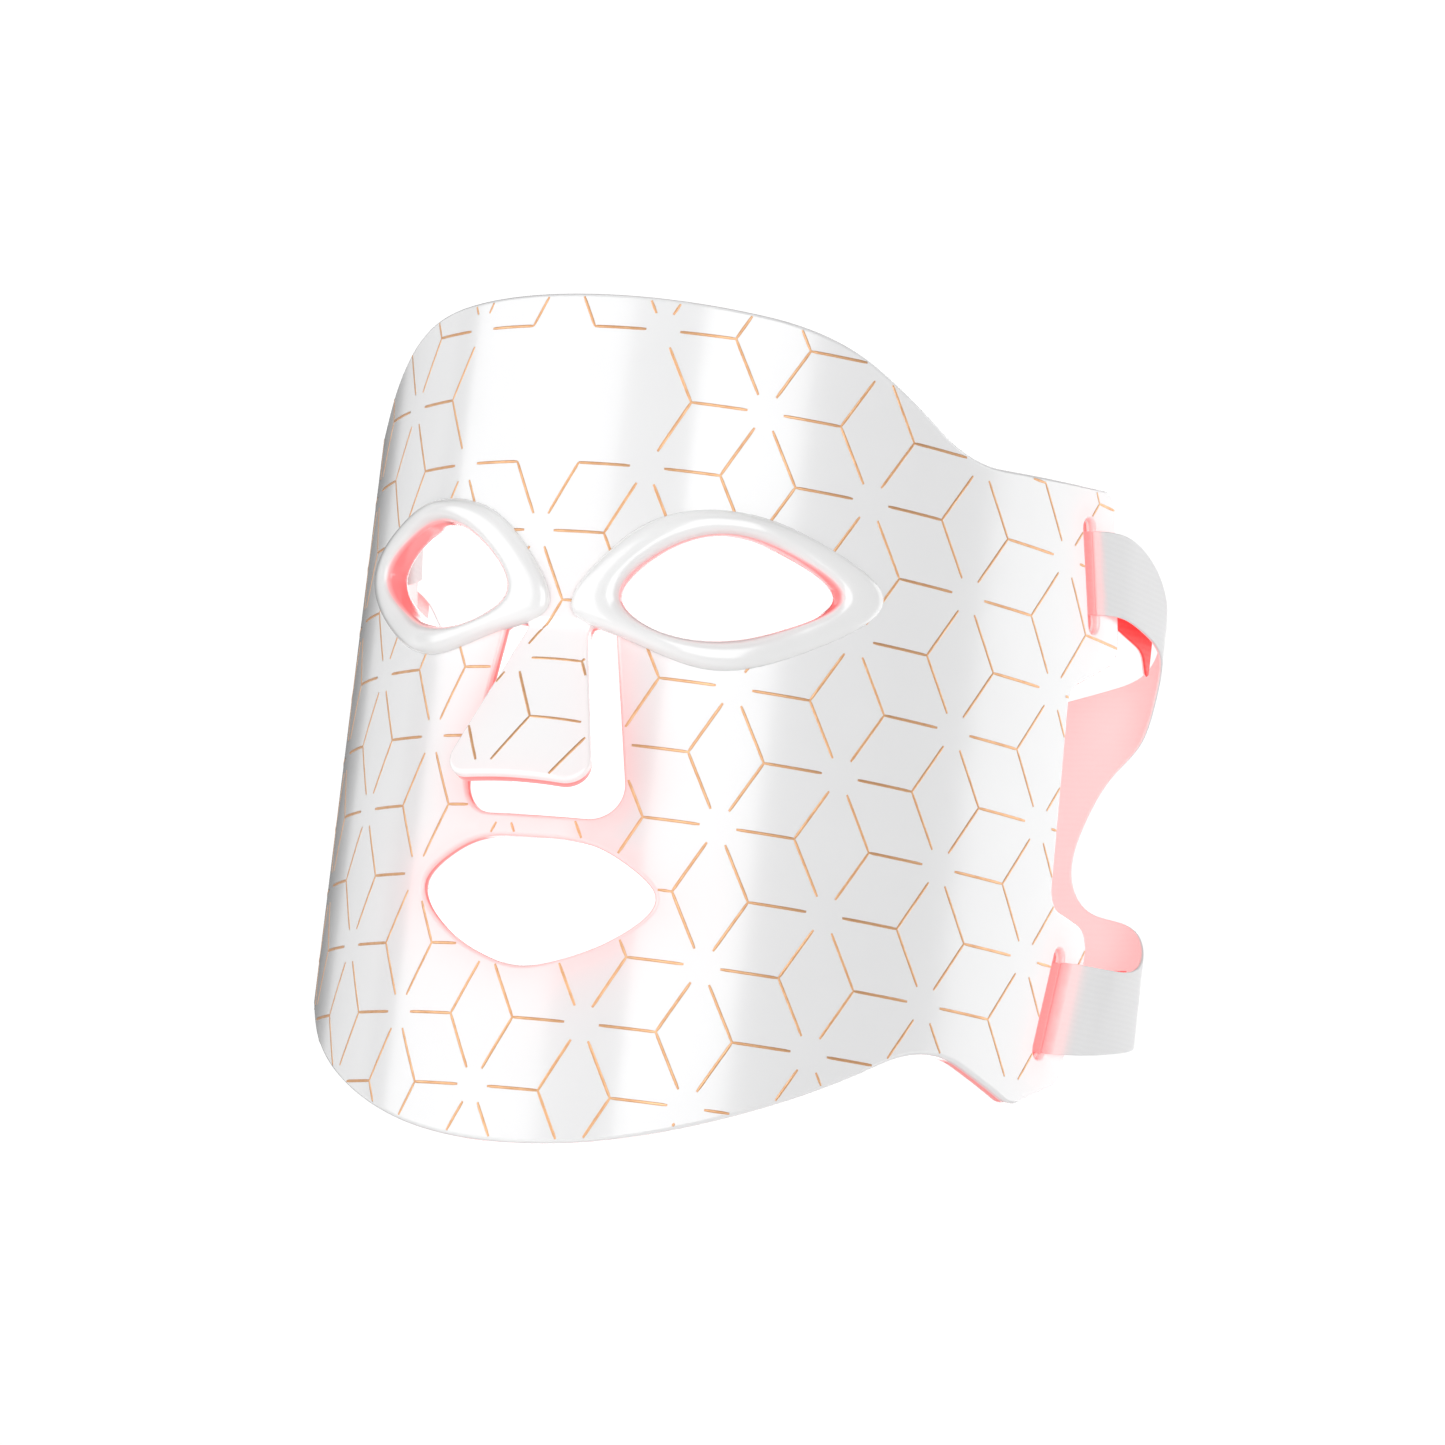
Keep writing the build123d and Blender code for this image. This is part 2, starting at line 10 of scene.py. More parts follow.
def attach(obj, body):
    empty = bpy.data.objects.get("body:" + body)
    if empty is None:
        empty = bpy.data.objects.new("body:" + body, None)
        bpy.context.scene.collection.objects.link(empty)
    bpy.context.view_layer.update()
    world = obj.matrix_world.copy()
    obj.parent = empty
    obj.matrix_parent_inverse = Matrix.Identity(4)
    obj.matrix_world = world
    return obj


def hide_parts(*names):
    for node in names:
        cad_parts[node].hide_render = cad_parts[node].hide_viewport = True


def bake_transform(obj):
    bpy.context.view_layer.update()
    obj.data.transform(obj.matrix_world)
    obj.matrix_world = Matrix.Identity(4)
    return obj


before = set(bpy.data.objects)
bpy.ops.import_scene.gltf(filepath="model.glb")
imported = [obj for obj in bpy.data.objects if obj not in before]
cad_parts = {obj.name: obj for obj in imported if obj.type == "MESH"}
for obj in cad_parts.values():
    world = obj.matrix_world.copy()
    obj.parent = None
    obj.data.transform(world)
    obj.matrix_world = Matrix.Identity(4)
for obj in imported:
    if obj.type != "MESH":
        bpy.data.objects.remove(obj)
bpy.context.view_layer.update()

# Looks of the light-therapy face mask. Lengths below are in millimetres until a mesh is made.
# The silicone sheet is described flat, by "length" along its outer section from the centre line
# (positive towards the wearer's left) and height. "Inset" is the distance in from the outer surface,
# "depth" the distance behind the sheet's foremost line.
MM = 0.001

# ---------------- driving dimensions
WALL = 3.4
SPLIT = 1.6                     # inset where the white shell meets the liner
ARCS = ((58.0, 32.0), (95.0, 26.5), (165.0, 60.0))      # radius and turn of each arc of the section
HINGE_HEADING = 57.0
SEAM_HEADING = 49.0             # where a wing's piece starts
SIDE_OUTLINE = (                # depth, height, corner radius
    (-6.0, 58.9, 1.0), (20.0, 56.0, 40.0), (50.0, 36.0, 25.0), (98.5, 40.8, 4.0),
    (109.5, 6.0, 5.5), (88.5, -4.0, 6.0), (90.0, -50.5, 5.0), (109.5, -53.5, 6.0),
    (101.8, -87.0, 7.0), (83.0, -94.0, 9.0), (55.0, -85.0, 25.0), (-6.0, -120.3, 1.0),
)
EYE_OPENING = ((12.8, -5.0), (19.0, 5.0), (32.0, 10.8), (44.0, 8.0),
               (50.8, 2.5), (43.0, -6.3), (30.0, -11.3), (17.5, -9.3))
EYE_RIM = ((2.6, -7.5), (8.0, 3.5), (20.0, 13.3), (34.0, 15.7), (48.0, 11.7),
           (57.0, 4.3), (47.0, -10.0), (31.0, -17.2), (13.0, -12.6))
MOUTH = ((0.0, -54.8), (12.0, -55.4), (21.0, -59.5), (25.8, -64.5), (20.0, -73.0), (9.0, -79.0),
         (0.0, -81.0), (-9.0, -79.0), (-20.0, -73.0), (-25.8, -64.5), (-21.0, -59.5), (-12.0, -55.4))
# right half of the slit between nose flap and sheet: first along the flap, then back along the sheet
SLIT_FLAP = ((0.0, -48.4, 1.0), (17.2, -48.4, 5.0), (6.8, -12.9, 6.0), (7.0, -10.9, 0.9))
SLIT_SHEET = ((12.2, -10.9, 1.2), (18.9, -50.2, 7.0), (0.0, -50.2, 1.0))
FLAP_AXIS = (-WALL / 2, -11.7)  # y and height
FLAP_TILT = 25.0
FLAP_BEND = (-9.6, -13.8)       # heights where the flap's bend starts and ends
SLOTS = ((92.3, 21.3, 17.5), (93.5, -70.8, -12.9))      # depth, height, lean
SLOT_SIZE = (24.5, 4.0)
LATTICE_EDGE = 16.5
LATTICE_GAP = 0.24              # share of an edge left blank at a six-way centre
LINE_WIDTH = 0.64
WING_BEND_HALF = 9.0            # half the length over which a wing's living hinge bends
SHEET_STEP = 2.4                # size of the triangles on the sheet
SHELL_EDGE, LINER_EDGE = 0.9, 0.5       # edge radii


# ---------------- the sheet's section
def arc_table():
    """Centre, radius, first heading and first length of each arc."""
    rows = []
    centre_x, centre_y, start, length = 0.0, ARCS[0][0] - WALL, 0.0, 0.0
    for index, (radius, turn) in enumerate(ARCS):
        if index:
            step = radius - ARCS[index - 1][0]
            centre_x -= step * sin(radians(start))
            centre_y += step * cos(radians(start))
        rows.append((centre_x, centre_y, radius, radians(start), length))
        length += radius * radians(turn)
        start += turn
    return rows


TABLE = arc_table()
BREAKS = [row[4] for row in TABLE[1:]]


def section(length, inset=0.0):
    """x, y and heading of the section at a length and inset; arrays are fine."""
    length = np.asarray(length, float)
    side = np.where(length < 0, -1.0, 1.0)
    run = np.abs(length)
    index = np.searchsorted(BREAKS, run)
    row = np.array(TABLE)[index]
    heading = row[..., 3] + (run - row[..., 4]) / row[..., 2]
    radius = row[..., 2] - inset
    x = row[..., 0] + radius * np.sin(heading)
    y = row[..., 1] - radius * np.cos(heading)
    return side * x, y, side * heading


RULER = np.linspace(0.0, 170.0, 6801)
RULER_X, RULER_Y, RULER_HEADING = section(RULER)
SEAM_LENGTH = float(np.interp(radians(SEAM_HEADING), RULER_HEADING, RULER))
HINGE_LENGTH = float(np.interp(radians(HINGE_HEADING), RULER_HEADING, RULER))


def length_at_x(x, inset=0.0):
    row_x = section(RULER, inset)[0][:4200]
    return np.sign(x) * np.interp(np.abs(x), row_x, RULER[:4200])


def length_at_depth(depth):
    return np.interp(depth, RULER_Y + WALL, RULER)


def on_sheet(length, height, inset):
    """Points of the sheet in the mask's frame."""
    x, y, _ = section(length, inset)
    return np.stack([x, y, np.broadcast_to(height, np.shape(x))], -1)


def sheet_normal(length):
    heading = section(length)[2]
    return np.stack([np.sin(heading), -np.cos(heading), np.zeros_like(heading)], -1)


def smooth(value):
    value = np.clip(value, 0.0, 1.0)
    return value * value * (3 - 2 * value)


def tilted(points, heights, vectors=False):
    """Points (or directions) of the nose flap, turned out about its hinge line."""
    share = smooth((FLAP_BEND[0] - heights) / (FLAP_BEND[0] - FLAP_BEND[1]))
    angle = -radians(FLAP_TILT) * share
    origin = np.zeros(2) if vectors else np.array(FLAP_AXIS)
    y, z = points[:, 1] - origin[0], points[:, 2] - origin[1]
    out = points.copy()
    out[:, 1] = origin[0] + y * np.cos(angle) - z * np.sin(angle)
    out[:, 2] = origin[1] + y * np.sin(angle) + z * np.cos(angle)
    return out


# ---------------- outlines
def spline(points, closed=False, per=24):
    """Smooth cubic curve through points, with equal curvature on both sides of each point."""
    knots = np.array(points, float)
    if closed:
        knots = np.vstack([knots, knots[:1]])
    step = np.linalg.norm(np.diff(knots, axis=0), axis=1)
    count = len(knots)
    matrix, right = np.zeros((count, count)), np.zeros((count, knots.shape[1]))
    for i in range(1, count - 1):
        matrix[i, i - 1:i + 2] = step[i - 1], 2 * (step[i - 1] + step[i]), step[i]
        right[i] = 6 * ((knots[i + 1] - knots[i]) / step[i] - (knots[i] - knots[i - 1]) / step[i - 1])
    if closed:
        matrix[0, [0, -1]] = 1.0, -1.0
        matrix[-1, [0, 1, -2, -1]] = 2 * step[0], step[0], step[-1], 2 * step[-1]
        right[-1] = 6 * ((knots[1] - knots[0]) / step[0] - (knots[-1] - knots[-2]) / step[-1])
    else:
        matrix[0, 0] = matrix[-1, -1] = 1.0
    bend = np.linalg.solve(matrix, right)
    out = []
    for i in range(count - 1):
        for t in np.arange(per) / per:
            s, h = 1 - t, step[i]
            out.append(s * knots[i] + t * knots[i + 1]
                       + ((s ** 3 - s) * bend[i] + (t ** 3 - t) * bend[i + 1]) * h * h / 6)
    if not closed:
        out.append(knots[-1])
    return np.array(out)


def rounded(corners, closed=True, bend_step=0.35):
    """Straight runs with round corners; each corner is x, y and a radius."""
    out = []
    count = len(corners)
    for i in range(count):
        here = np.array(corners[i][:2], float)
        if not closed and i in (0, count - 1):
            out.append(here)
            continue
        to_last = np.array(corners[i - 1][:2]) - here
        to_next = np.array(corners[(i + 1) % count][:2]) - here
        to_last /= np.linalg.norm(to_last)
        to_next /= np.linalg.norm(to_next)
        half = np.arccos(np.clip(to_last @ to_next, -1, 1)) / 2
        radius = corners[i][2]
        middle = to_last + to_next
        centre = here + middle / np.linalg.norm(middle) * radius / sin(half)
        first = here + to_last * radius / tan(half) - centre
        last = here + to_next * radius / tan(half) - centre
        turn = atan2(first[0] * last[1] - first[1] * last[0], first @ last)
        steps = max(2, ceil(abs(turn) * radius / bend_step))
        for k in range(steps + 1):
            a = turn * k / steps
            across, up = first[0] * cos(a) - first[1] * sin(a), first[0] * sin(a) + first[1] * cos(a)
            out.append(centre + [across, up])
    return np.array(out)


def spaced(points, step, closed=True):
    """The same line with points a step apart."""
    line = np.vstack([points, points[:1]]) if closed else points
    run = np.concatenate([[0], np.cumsum(np.linalg.norm(np.diff(line, axis=0), axis=1))])
    count = max(8, int(round(run[-1] / step)))
    at = np.linspace(0, run[-1], count + 1)
    if closed:
        at = at[:-1]
    return np.stack([np.interp(at, run, line[:, k]) for k in range(line.shape[1])], -1)


def area(loop):
    x, y = loop[:, 0], loop[:, 1]
    return 0.5 * np.sum(x * np.roll(y, -1) - np.roll(x, -1) * y)


def turned(loop, around):
    """The loop, turning left round the material if around, else round a hole."""
    return loop if (area(loop) > 0) == around else loop[::-1]


def flip(points):
    return np.stack([-points[:, 0], points[:, 1]], -1)[::-1]


def inside(points, loops):
    """True where a point is inside an odd number of loops."""
    first = np.vstack(loops)
    last = np.vstack([np.roll(loop, -1, axis=0) for loop in loops])
    rise = last[:, 1] - first[:, 1]
    slope = (last[:, 0] - first[:, 0]) / np.where(rise == 0, 1.0, rise)
    hit = np.zeros(len(points), bool)
    for start in range(0, len(points), 1000):
        x, y = points[start:start + 1000, :1], points[start:start + 1000, 1:2]
        crosses = (first[:, 1] > y) != (last[:, 1] > y)
        hit[start:start + 1000] = (crosses & (x < first[:, 0] + (y - first[:, 1]) * slope)).sum(1) % 2 == 1
    return hit


def outward(loop):
    """Unit directions out of the material, on the right of a loop that turns left round it."""
    along = np.roll(loop, -1, axis=0) - np.roll(loop, 1, axis=0)
    along /= np.linalg.norm(along, axis=1)[:, None]
    return np.stack([along[:, 1], -along[:, 0]], -1)


def sheet_outline():
    """Edge of the flat sheet, from the side view."""
    side = rounded(SIDE_OUTLINE, closed=False)
    half = []
    for a, b in zip(side, side[1:]):
        depth = np.linspace(a[0], b[0], 60) if abs(b[0] - a[0]) < 8 else np.interp(
            np.linspace(*length_at_depth(np.maximum([a[0], b[0]], 0.0)), 160), RULER, RULER_Y + WALL)
        share = (depth - a[0]) / (b[0] - a[0]) if abs(b[0] - a[0]) > 1e-6 else np.linspace(0, 1, 60)
        half.append(np.stack([length_at_depth(np.maximum(depth, 0.0)), a[1] + share * (b[1] - a[1])], -1))
    half = np.vstack(half)
    half[half[:, 0] < 0.05, 0] = 0.0
    return turned(spaced(np.vstack([half, flip(half)]), 1.25), True)


def by_slot(slot, behind, along):
    """Depth and height of points given behind a slot's middle line and along it."""
    depth, height, lean = slot
    a = radians(lean)
    return depth + behind * cos(a) - along * sin(a), height + behind * sin(a) + along * cos(a)


def slot_loop(slot, side):
    half, radius = SLOT_SIZE[0] / 2, SLOT_SIZE[1] / 2
    box = [(-radius, -half, 1.9), (radius, -half, 1.9), (radius, half, 1.9), (-radius, half, 1.9)]
    local = rounded(box)
    d, z = by_slot(slot, local[:, 0], local[:, 1])
    return turned(spaced(np.stack([side * length_at_depth(d), z], -1), 0.9), False)


def front_loop(points, step=1.1):
    """Hole seen from the front: its loop on the outer surface and the same cut at the inner surface."""
    points = turned(spaced(points, step), False)
    outer = np.stack([length_at_x(points[:, 0]), points[:, 1]], -1)
    inner = np.stack([length_at_x(points[:, 0], WALL), points[:, 1]], -1)
    return outer, inner


def slit_loops():
    half = rounded(SLIT_FLAP + SLIT_SHEET, closed=False, bend_step=0.2)
    whole = np.vstack([half, flip(half)[1:-1]])
    outer, sunk = front_loop(whole, 0.8)
    return outer, np.where(on_flap(outer)[:, None], outer, sunk)


FLAP_AREA = rounded(((-8.8, -8.8, 0.2), (-9.7, -13.0, 1.0), (-18.4, -49.3, 6.0), (18.4, -49.3, 6.0),
                     (9.7, -13.0, 1.0), (8.8, -8.8, 0.2)))


def on_flap(points):
    return inside(points, [FLAP_AREA])


# ---------------- meshes
def make_object(name, points, faces, normals=None, values=None):
    """Mesh object from points in millimetres, with given normals and point values."""
    used = sorted({i for face in faces for i in face})
    new = {old: i for i, old in enumerate(used)}
    mesh = bpy.data.meshes.new(name)
    mesh.from_pydata([tuple(points[i] * MM) for i in used], [], [[new[i] for i in face] for face in faces])
    mesh.update()
    for polygon in mesh.polygons:
        polygon.use_smooth = True
    for key, value in (values or {}).items():
        attribute = mesh.attributes.new(key, "FLOAT", "POINT")
        attribute.data.foreach_set("value", np.asarray(value, np.float32)[used])
    if normals is not None:
        mesh.normals_split_custom_set_from_vertices([tuple(normals[i]) for i in used])
    piece = bpy.data.objects.new(name, mesh)
    bpy.context.scene.collection.objects.link(piece)
    return piece


def nearest(loops, points):
    """Distance from each flat point to the nearest point of the loops."""
    line = np.vstack(loops)
    tree = KDTree(len(line))
    for i, point in enumerate(line):
        tree.insert((point[0], point[1], 0.0), i)
    tree.balance()
    return np.array([tree.find((p[0], p[1], 0.0))[2] for p in points])


def flat_points(loops, step):
    """Points and triangles of the flat material inside loops."""
    low, high = loops[0].min(0), loops[0].max(0)
    grid = []
    for i, z in enumerate(np.arange(low[1], high[1], step * 0.87)):
        across = np.arange(low[0] + (step / 2 if i % 2 else 0), high[0], step)
        grid.append(np.stack([across, np.full(len(across), z)], -1))
    grid = np.vstack(grid)
    grid = grid[inside(grid, loops)]
    grid = grid[nearest(loops, grid) > 0.55 * step]
    points = np.vstack(loops + [grid])
    edges, start = [], 0
    for loop in loops:
        edges += [(start + i, start + (i + 1) % len(loop)) for i in range(len(loop))]
        start += len(loop)
    found = delaunay_2d_cdt([Vector(p) for p in points], edges, [], 0, 1e-7)
    origin = [ids[0] if ids else -1 for ids in found[3]]
    triangles = [[origin[i] for i in face] for face in found[2]]
    triangles = [t for t in triangles if min(t) >= 0]
    centres = np.array([points[t].mean(0) for t in triangles])
    keep = inside(centres, loops)
    triangles = [t for t, good in zip(triangles, keep) if good]
    fixed = []
    for t in triangles:
        (ax, ay), (bx, by), (cx, cy) = points[t]
        fixed.append(t if (bx - ax) * (cy - ay) - (by - ay) * (cx - ax) > 0 else t[::-1])
    return points, fixed


class Slab:
    """Half of a sheet's thickness: one face, its round edge and the wall below, mapped from flat to space."""

    def __init__(self, loops, wall_loops, place, radius, levels, step, upper):
        # levels: inset of the face and inset where the wall ends
        face_level, wall_level = levels
        sign = 1.0 if wall_level > face_level else -1.0
        face_loops = [loop - outward(loop) * radius for loop in loops]
        points, triangles = flat_points(face_loops, step)
        bends = 4
        self.flat = [points]
        self.inset = [np.full(len(points), face_level)]
        zero = np.zeros((len(points), 2))
        start = 0
        for loop in loops:
            zero[start:start + len(loop)] = outward(loop)
            start += len(loop)
        self.out_dirs = [zero]
        self.normal_share = [np.zeros(len(points))]
        faces = list(triangles)
        first, total = 0, len(points)
        for loop, low in zip(loops, wall_loops):
            count = len(loop)
            last_ring = np.arange(first, first + count)
            first += count
            direction = outward(loop)
            for k in range(1, bends + 2):
                if k <= bends:
                    a = pi / 2 * k / bends
                    ring = loop - direction * radius * (1 - sin(a))
                    depth = face_level + sign * radius * (1 - cos(a))
                else:
                    a, ring, depth = pi / 2, low, wall_level
                ids = np.arange(total, total + count)
                total += count
                self.flat.append(ring)
                self.inset.append(np.full(count, depth))
                self.out_dirs.append(direction)
                self.normal_share.append(np.full(count, a))
                for i in range(count):
                    j = (i + 1) % count
                    faces.append([last_ring[i], ids[i], ids[j], last_ring[j]])
                last_ring = ids
        self.flat = np.vstack(self.flat)
        self.inset = np.concatenate(self.inset)
        self.out_dirs = np.vstack(self.out_dirs)
        angle = np.concatenate(self.normal_share)
        if not upper:
            faces = [face[::-1] for face in faces]
        self.faces = [[int(i) for i in face] for face in faces]
        self.points, up = place(self.flat, self.inset)
        nudge = self.out_dirs * 0.05
        ahead = place(self.flat + nudge, self.inset)[0] - place(self.flat - nudge, self.inset)[0]
        size = np.linalg.norm(ahead, axis=1)
        ahead[size > 0] /= size[size > 0][:, None]
        up = up if upper else -up
        self.normals = up * np.cos(angle)[:, None] + ahead * np.sin(angle)[:, None]
        self.normals /= np.linalg.norm(self.normals, axis=1)[:, None]

    def centres(self):
        return np.array([self.flat[face].mean(0) for face in self.faces])


# ---------------- materials
def material(name, color, roughness, **sockets):
    made = bpy.data.materials.new(name)
    made.use_nodes = True
    shader = made.node_tree.nodes["Principled BSDF"]
    shader.inputs["Base Color"].default_value = (*color, 1.0)
    shader.inputs["Roughness"].default_value = roughness
    for key, value in sockets.items():
        shader.inputs[key.replace("_", " ")].default_value = value
    return made, made.node_tree, shader


def texture_of(tree, kind, scale):
    """A texture node that follows the object's own coordinates."""
    coordinates = tree.nodes.new("ShaderNodeTexCoord")
    texture = tree.nodes.new(kind)
    texture.inputs["Scale"].default_value = scale
    tree.links.new(coordinates.outputs["Object"], texture.inputs["Vector"])
    return texture


def noise(tree, scale, detail=2.0):
    texture = texture_of(tree, "ShaderNodeTexNoise", scale)
    texture.inputs["Detail"].default_value = detail
    return texture


def ramp(tree, source, low, high, start=0.3, stop=0.7):
    node = tree.nodes.new("ShaderNodeMapRange")
    node.inputs["From Min"].default_value = start
    node.inputs["From Max"].default_value = stop
    node.inputs["To Min"].default_value = low
    node.inputs["To Max"].default_value = high
    tree.links.new(source, node.inputs["Value"])
    return node.outputs["Result"]


def mix(tree, factor, a, b):
    node = tree.nodes.new("ShaderNodeMix")
    node.data_type = "RGBA"
    tree.links.new(factor, node.inputs["Factor"])
    for socket, value in ((node.inputs[6], a), (node.inputs[7], b)):
        if isinstance(value, tuple):
            socket.default_value = (*value, 1.0)
        else:
            tree.links.new(value, socket)
    return node.outputs[2]


def bump(tree, shader, height, distance, strength=0.5):
    node = tree.nodes.new("ShaderNodeBump")
    node.inputs["Distance"].default_value = distance
    node.inputs["Strength"].default_value = strength
    tree.links.new(height, node.inputs["Height"])
    tree.links.new(node.outputs["Normal"], shader.inputs["Normal"])


def attribute(tree, name):
    node = tree.nodes.new("ShaderNodeAttribute")
    node.attribute_name = name
    return node.outputs["Fac"]


RED_LIGHT = (1.0, 0.16, 0.15, 1.0)


def silicone(name, color, glow_color, glow_strength, roughness=0.2, light=RED_LIGHT, least=0.0):
    """Moulded silicone: fine orange peel, slightly uneven gloss, and light where it glows."""
    made, tree, shader = material(name, color, roughness, IOR=1.5, Coat_Weight=0.7, Coat_Roughness=0.16)
    cloudy = noise(tree, 55.0)
    tone = mix(tree, ramp(tree, cloudy.outputs["Fac"], 0.0, 1.0), color, tuple(c * 0.985 for c in color))
    glow = attribute(tree, "glow")
    tone = mix(tree, ramp(tree, glow, 0.0, 1.0, 0.0, 1.0), tone, glow_color)
    tree.links.new(tone, shader.inputs["Base Color"])
    gloss = ramp(tree, cloudy.outputs["Fac"], roughness - 0.02, roughness + 0.03)
    tree.links.new(gloss, shader.inputs["Roughness"])
    shader.inputs["Emission Color"].default_value = light
    tree.links.new(ramp(tree, glow, least, glow_strength, 0.0, 1.0), shader.inputs["Emission Strength"])
    grain = noise(tree, 900.0, 3.0)
    bump(tree, shader, grain.outputs["Fac"], 0.00002, 0.4)
    return made


WHITE = silicone("white_silicone", (0.9, 0.9, 0.905), (1.0, 0.62, 0.62), 0.35)
# the flap tilts up from the sheet and looks grey under these lights, so it has a weak white glow of its own
FLAP_WHITE = silicone("flap_silicone", (0.9, 0.9, 0.905), (1.0, 0.62, 0.62), 0.3,
                      light=(1.0, 0.93, 0.93, 1.0), least=0.13)
RIM = silicone("rim_silicone", (0.92, 0.92, 0.92), (1.0, 0.22, 0.24), 0.5, 0.16)
LINER = silicone("lit_liner_silicone", (0.9, 0.66, 0.66), (1.0, 0.2, 0.2), 0.45, 0.34)


def ink(name):
    """Rose-gold foil lines, a little brushed."""
    made, tree, shader = material(name, (0.82, 0.45, 0.24), 0.34, Metallic=0.5)
    flecks = noise(tree, 420.0)
    tone = mix(tree, ramp(tree, flecks.outputs["Fac"], 0.0, 1.0), (0.86, 0.5, 0.27), (0.76, 0.4, 0.2))
    tree.links.new(tone, shader.inputs["Base Color"])
    tree.links.new(ramp(tree, flecks.outputs["Fac"], 0.28, 0.42), shader.inputs["Roughness"])
    return made


def lit_ramp(tree, source, stops):
    """Colour by the strap's painted LED light: -1 is a flat painted white light, 0 unlit, 1 pink and 2 deep
    red.
    """
    node = tree.nodes.new("ShaderNodeValToRGB")
    tree.links.new(ramp(tree, source, 0.0, 1.0, -1.0, 2.0), node.inputs["Fac"])
    elements = node.color_ramp.elements
    while len(elements) < len(stops):
        elements.new(0.5)
    for element, place, color in zip(elements, (0.0, 1 / 3, 2 / 3, 1.0), stops):
        element.position, element.color = place, (*color, 1.0)
    return node.outputs["Color"]


def webbing(name, color):
    """Smooth knitted elastic: fine ribs along it, soft fibres, and light on the side towards the face."""
    made, tree, shader = material(name, color, 0.6, Sheen_Weight=0.2, Sheen_Roughness=0.5)
    fibres = noise(tree, 1400.0, 2.0)
    weave = texture_of(tree, "ShaderNodeTexWave", 260.0)
    weave.wave_type, weave.bands_direction = "BANDS", "Z"
    weave.inputs["Distortion"].default_value = 1.2
    lit = attribute(tree, "glow")
    tone = lit_ramp(tree, lit, ((0.95, 0.95, 0.95), color, (0.95, 0.62, 0.62), (0.9, 0.05, 0.05)))
    darker = mix(tree, ramp(tree, weave.outputs["Fac"], 0.0, 0.05, 0.0, 1.0), tone, (0.5, 0.5, 0.5))
    tree.links.new(darker, shader.inputs["Base Color"])
    tree.links.new(ramp(tree, fibres.outputs["Fac"], 0.5, 0.7), shader.inputs["Roughness"])
    light = lit_ramp(tree, lit, ((0.62, 0.62, 0.62), (0.0, 0.0, 0.0), (0.42, 0.16, 0.16), (0.6, 0.02, 0.02)))
    tree.links.new(light, shader.inputs["Emission Color"])
    shader.inputs["Emission Strength"].default_value = 1.0
    bump(tree, shader, weave.outputs["Fac"], 0.00004, 0.4)
    return made


def pile(name, color, scale):
    """Hook-and-loop: fuzzy loops or rows of small hooks."""
    made, tree, shader = material(name, color, 0.85, Sheen_Weight=0.3, Sheen_Roughness=0.6)
    dots = texture_of(tree, "ShaderNodeTexVoronoi", scale)
    shade = ramp(tree, dots.outputs["Distance"], 0.0, 1.0, 0.1, 0.6)
    tone = mix(tree, shade, color, tuple(c * 0.82 for c in color))
    tree.links.new(tone, shader.inputs["Base Color"])
    cloudy = noise(tree, 300.0)
    tree.links.new(ramp(tree, cloudy.outputs["Fac"], 0.75, 0.95), shader.inputs["Roughness"])
    bump(tree, shader, dots.outputs["Distance"], 0.0002, 0.8)
    return made


def speckled(name, color, roughness, scale, change=0.9, **sockets):
    made, tree, shader = material(name, color, roughness, **sockets)
    texture = noise(tree, scale)
    tone = mix(tree, ramp(tree, texture.outputs["Fac"], 0.0, 1.0), color, tuple(c * change for c in color))
    tree.links.new(tone, shader.inputs["Base Color"])
    gloss = ramp(tree, texture.outputs["Fac"], roughness * 0.85, roughness * 1.15)
    tree.links.new(gloss, shader.inputs["Roughness"])
    bump(tree, shader, texture.outputs["Fac"], 0.00003, 0.3)
    return made


INK = ink("rose_gold_ink")
STRAP = webbing("strap_webbing", (0.8, 0.8, 0.805))
LOOP_PILE = pile("loop_pile", (0.9, 0.86, 0.86), 900.0)
HOOK_PILE = pile("hook_pile", (0.9, 0.88, 0.88), 1300.0)


def led_glass():
    made, tree, shader = material("led_window", (1.0, 0.4, 0.38), 0.22, Coat_Weight=0.3)
    core = attribute(tree, "glow")
    tone = mix(tree, ramp(tree, core, 0.0, 1.0, 0.0, 1.0), (0.95, 0.5, 0.5), (1.0, 0.2, 0.14))
    tree.links.new(tone, shader.inputs["Base Color"])
    shader.inputs["Emission Color"].default_value = (1.0, 0.1, 0.06, 1.0)
    tree.links.new(ramp(tree, core, 0.2, 4.0, 0.0, 1.0), shader.inputs["Emission Strength"])
    grain = noise(tree, 700.0)
    bump(tree, shader, grain.outputs["Fac"], 0.00002, 0.3)
    return made


# ---------------- the silicone sheet
OUTLINE = sheet_outline()
EYES = [front_loop(spline(EYE_OPENING, True) * [sign, 1.0]) for sign in (1.0, -1.0)]
MOUTH_OUTER, MOUTH_INNER = front_loop(spline(MOUTH, True))
SLIT_OUTER, SLIT_INNER = slit_loops()
SLOT_LOOPS = [slot_loop(slot, side) for side in (1, -1) for slot in SLOTS]
RIM_SEAT = 2.2


def widened(loop, margin):
    return loop - outward(loop) * margin


outer_loops = [OUTLINE, MOUTH_OUTER, SLIT_OUTER, *SLOT_LOOPS]
outer_loops += [widened(pair[0], RIM_SEAT) for pair in EYES]
inner_loops = [OUTLINE, MOUTH_INNER, SLIT_INNER, *SLOT_LOOPS]
inner_loops += [widened(pair[1], RIM_SEAT) for pair in EYES]
middle_loops = [a + (b - a) * SPLIT / WALL for a, b in zip(outer_loops, inner_loops)]


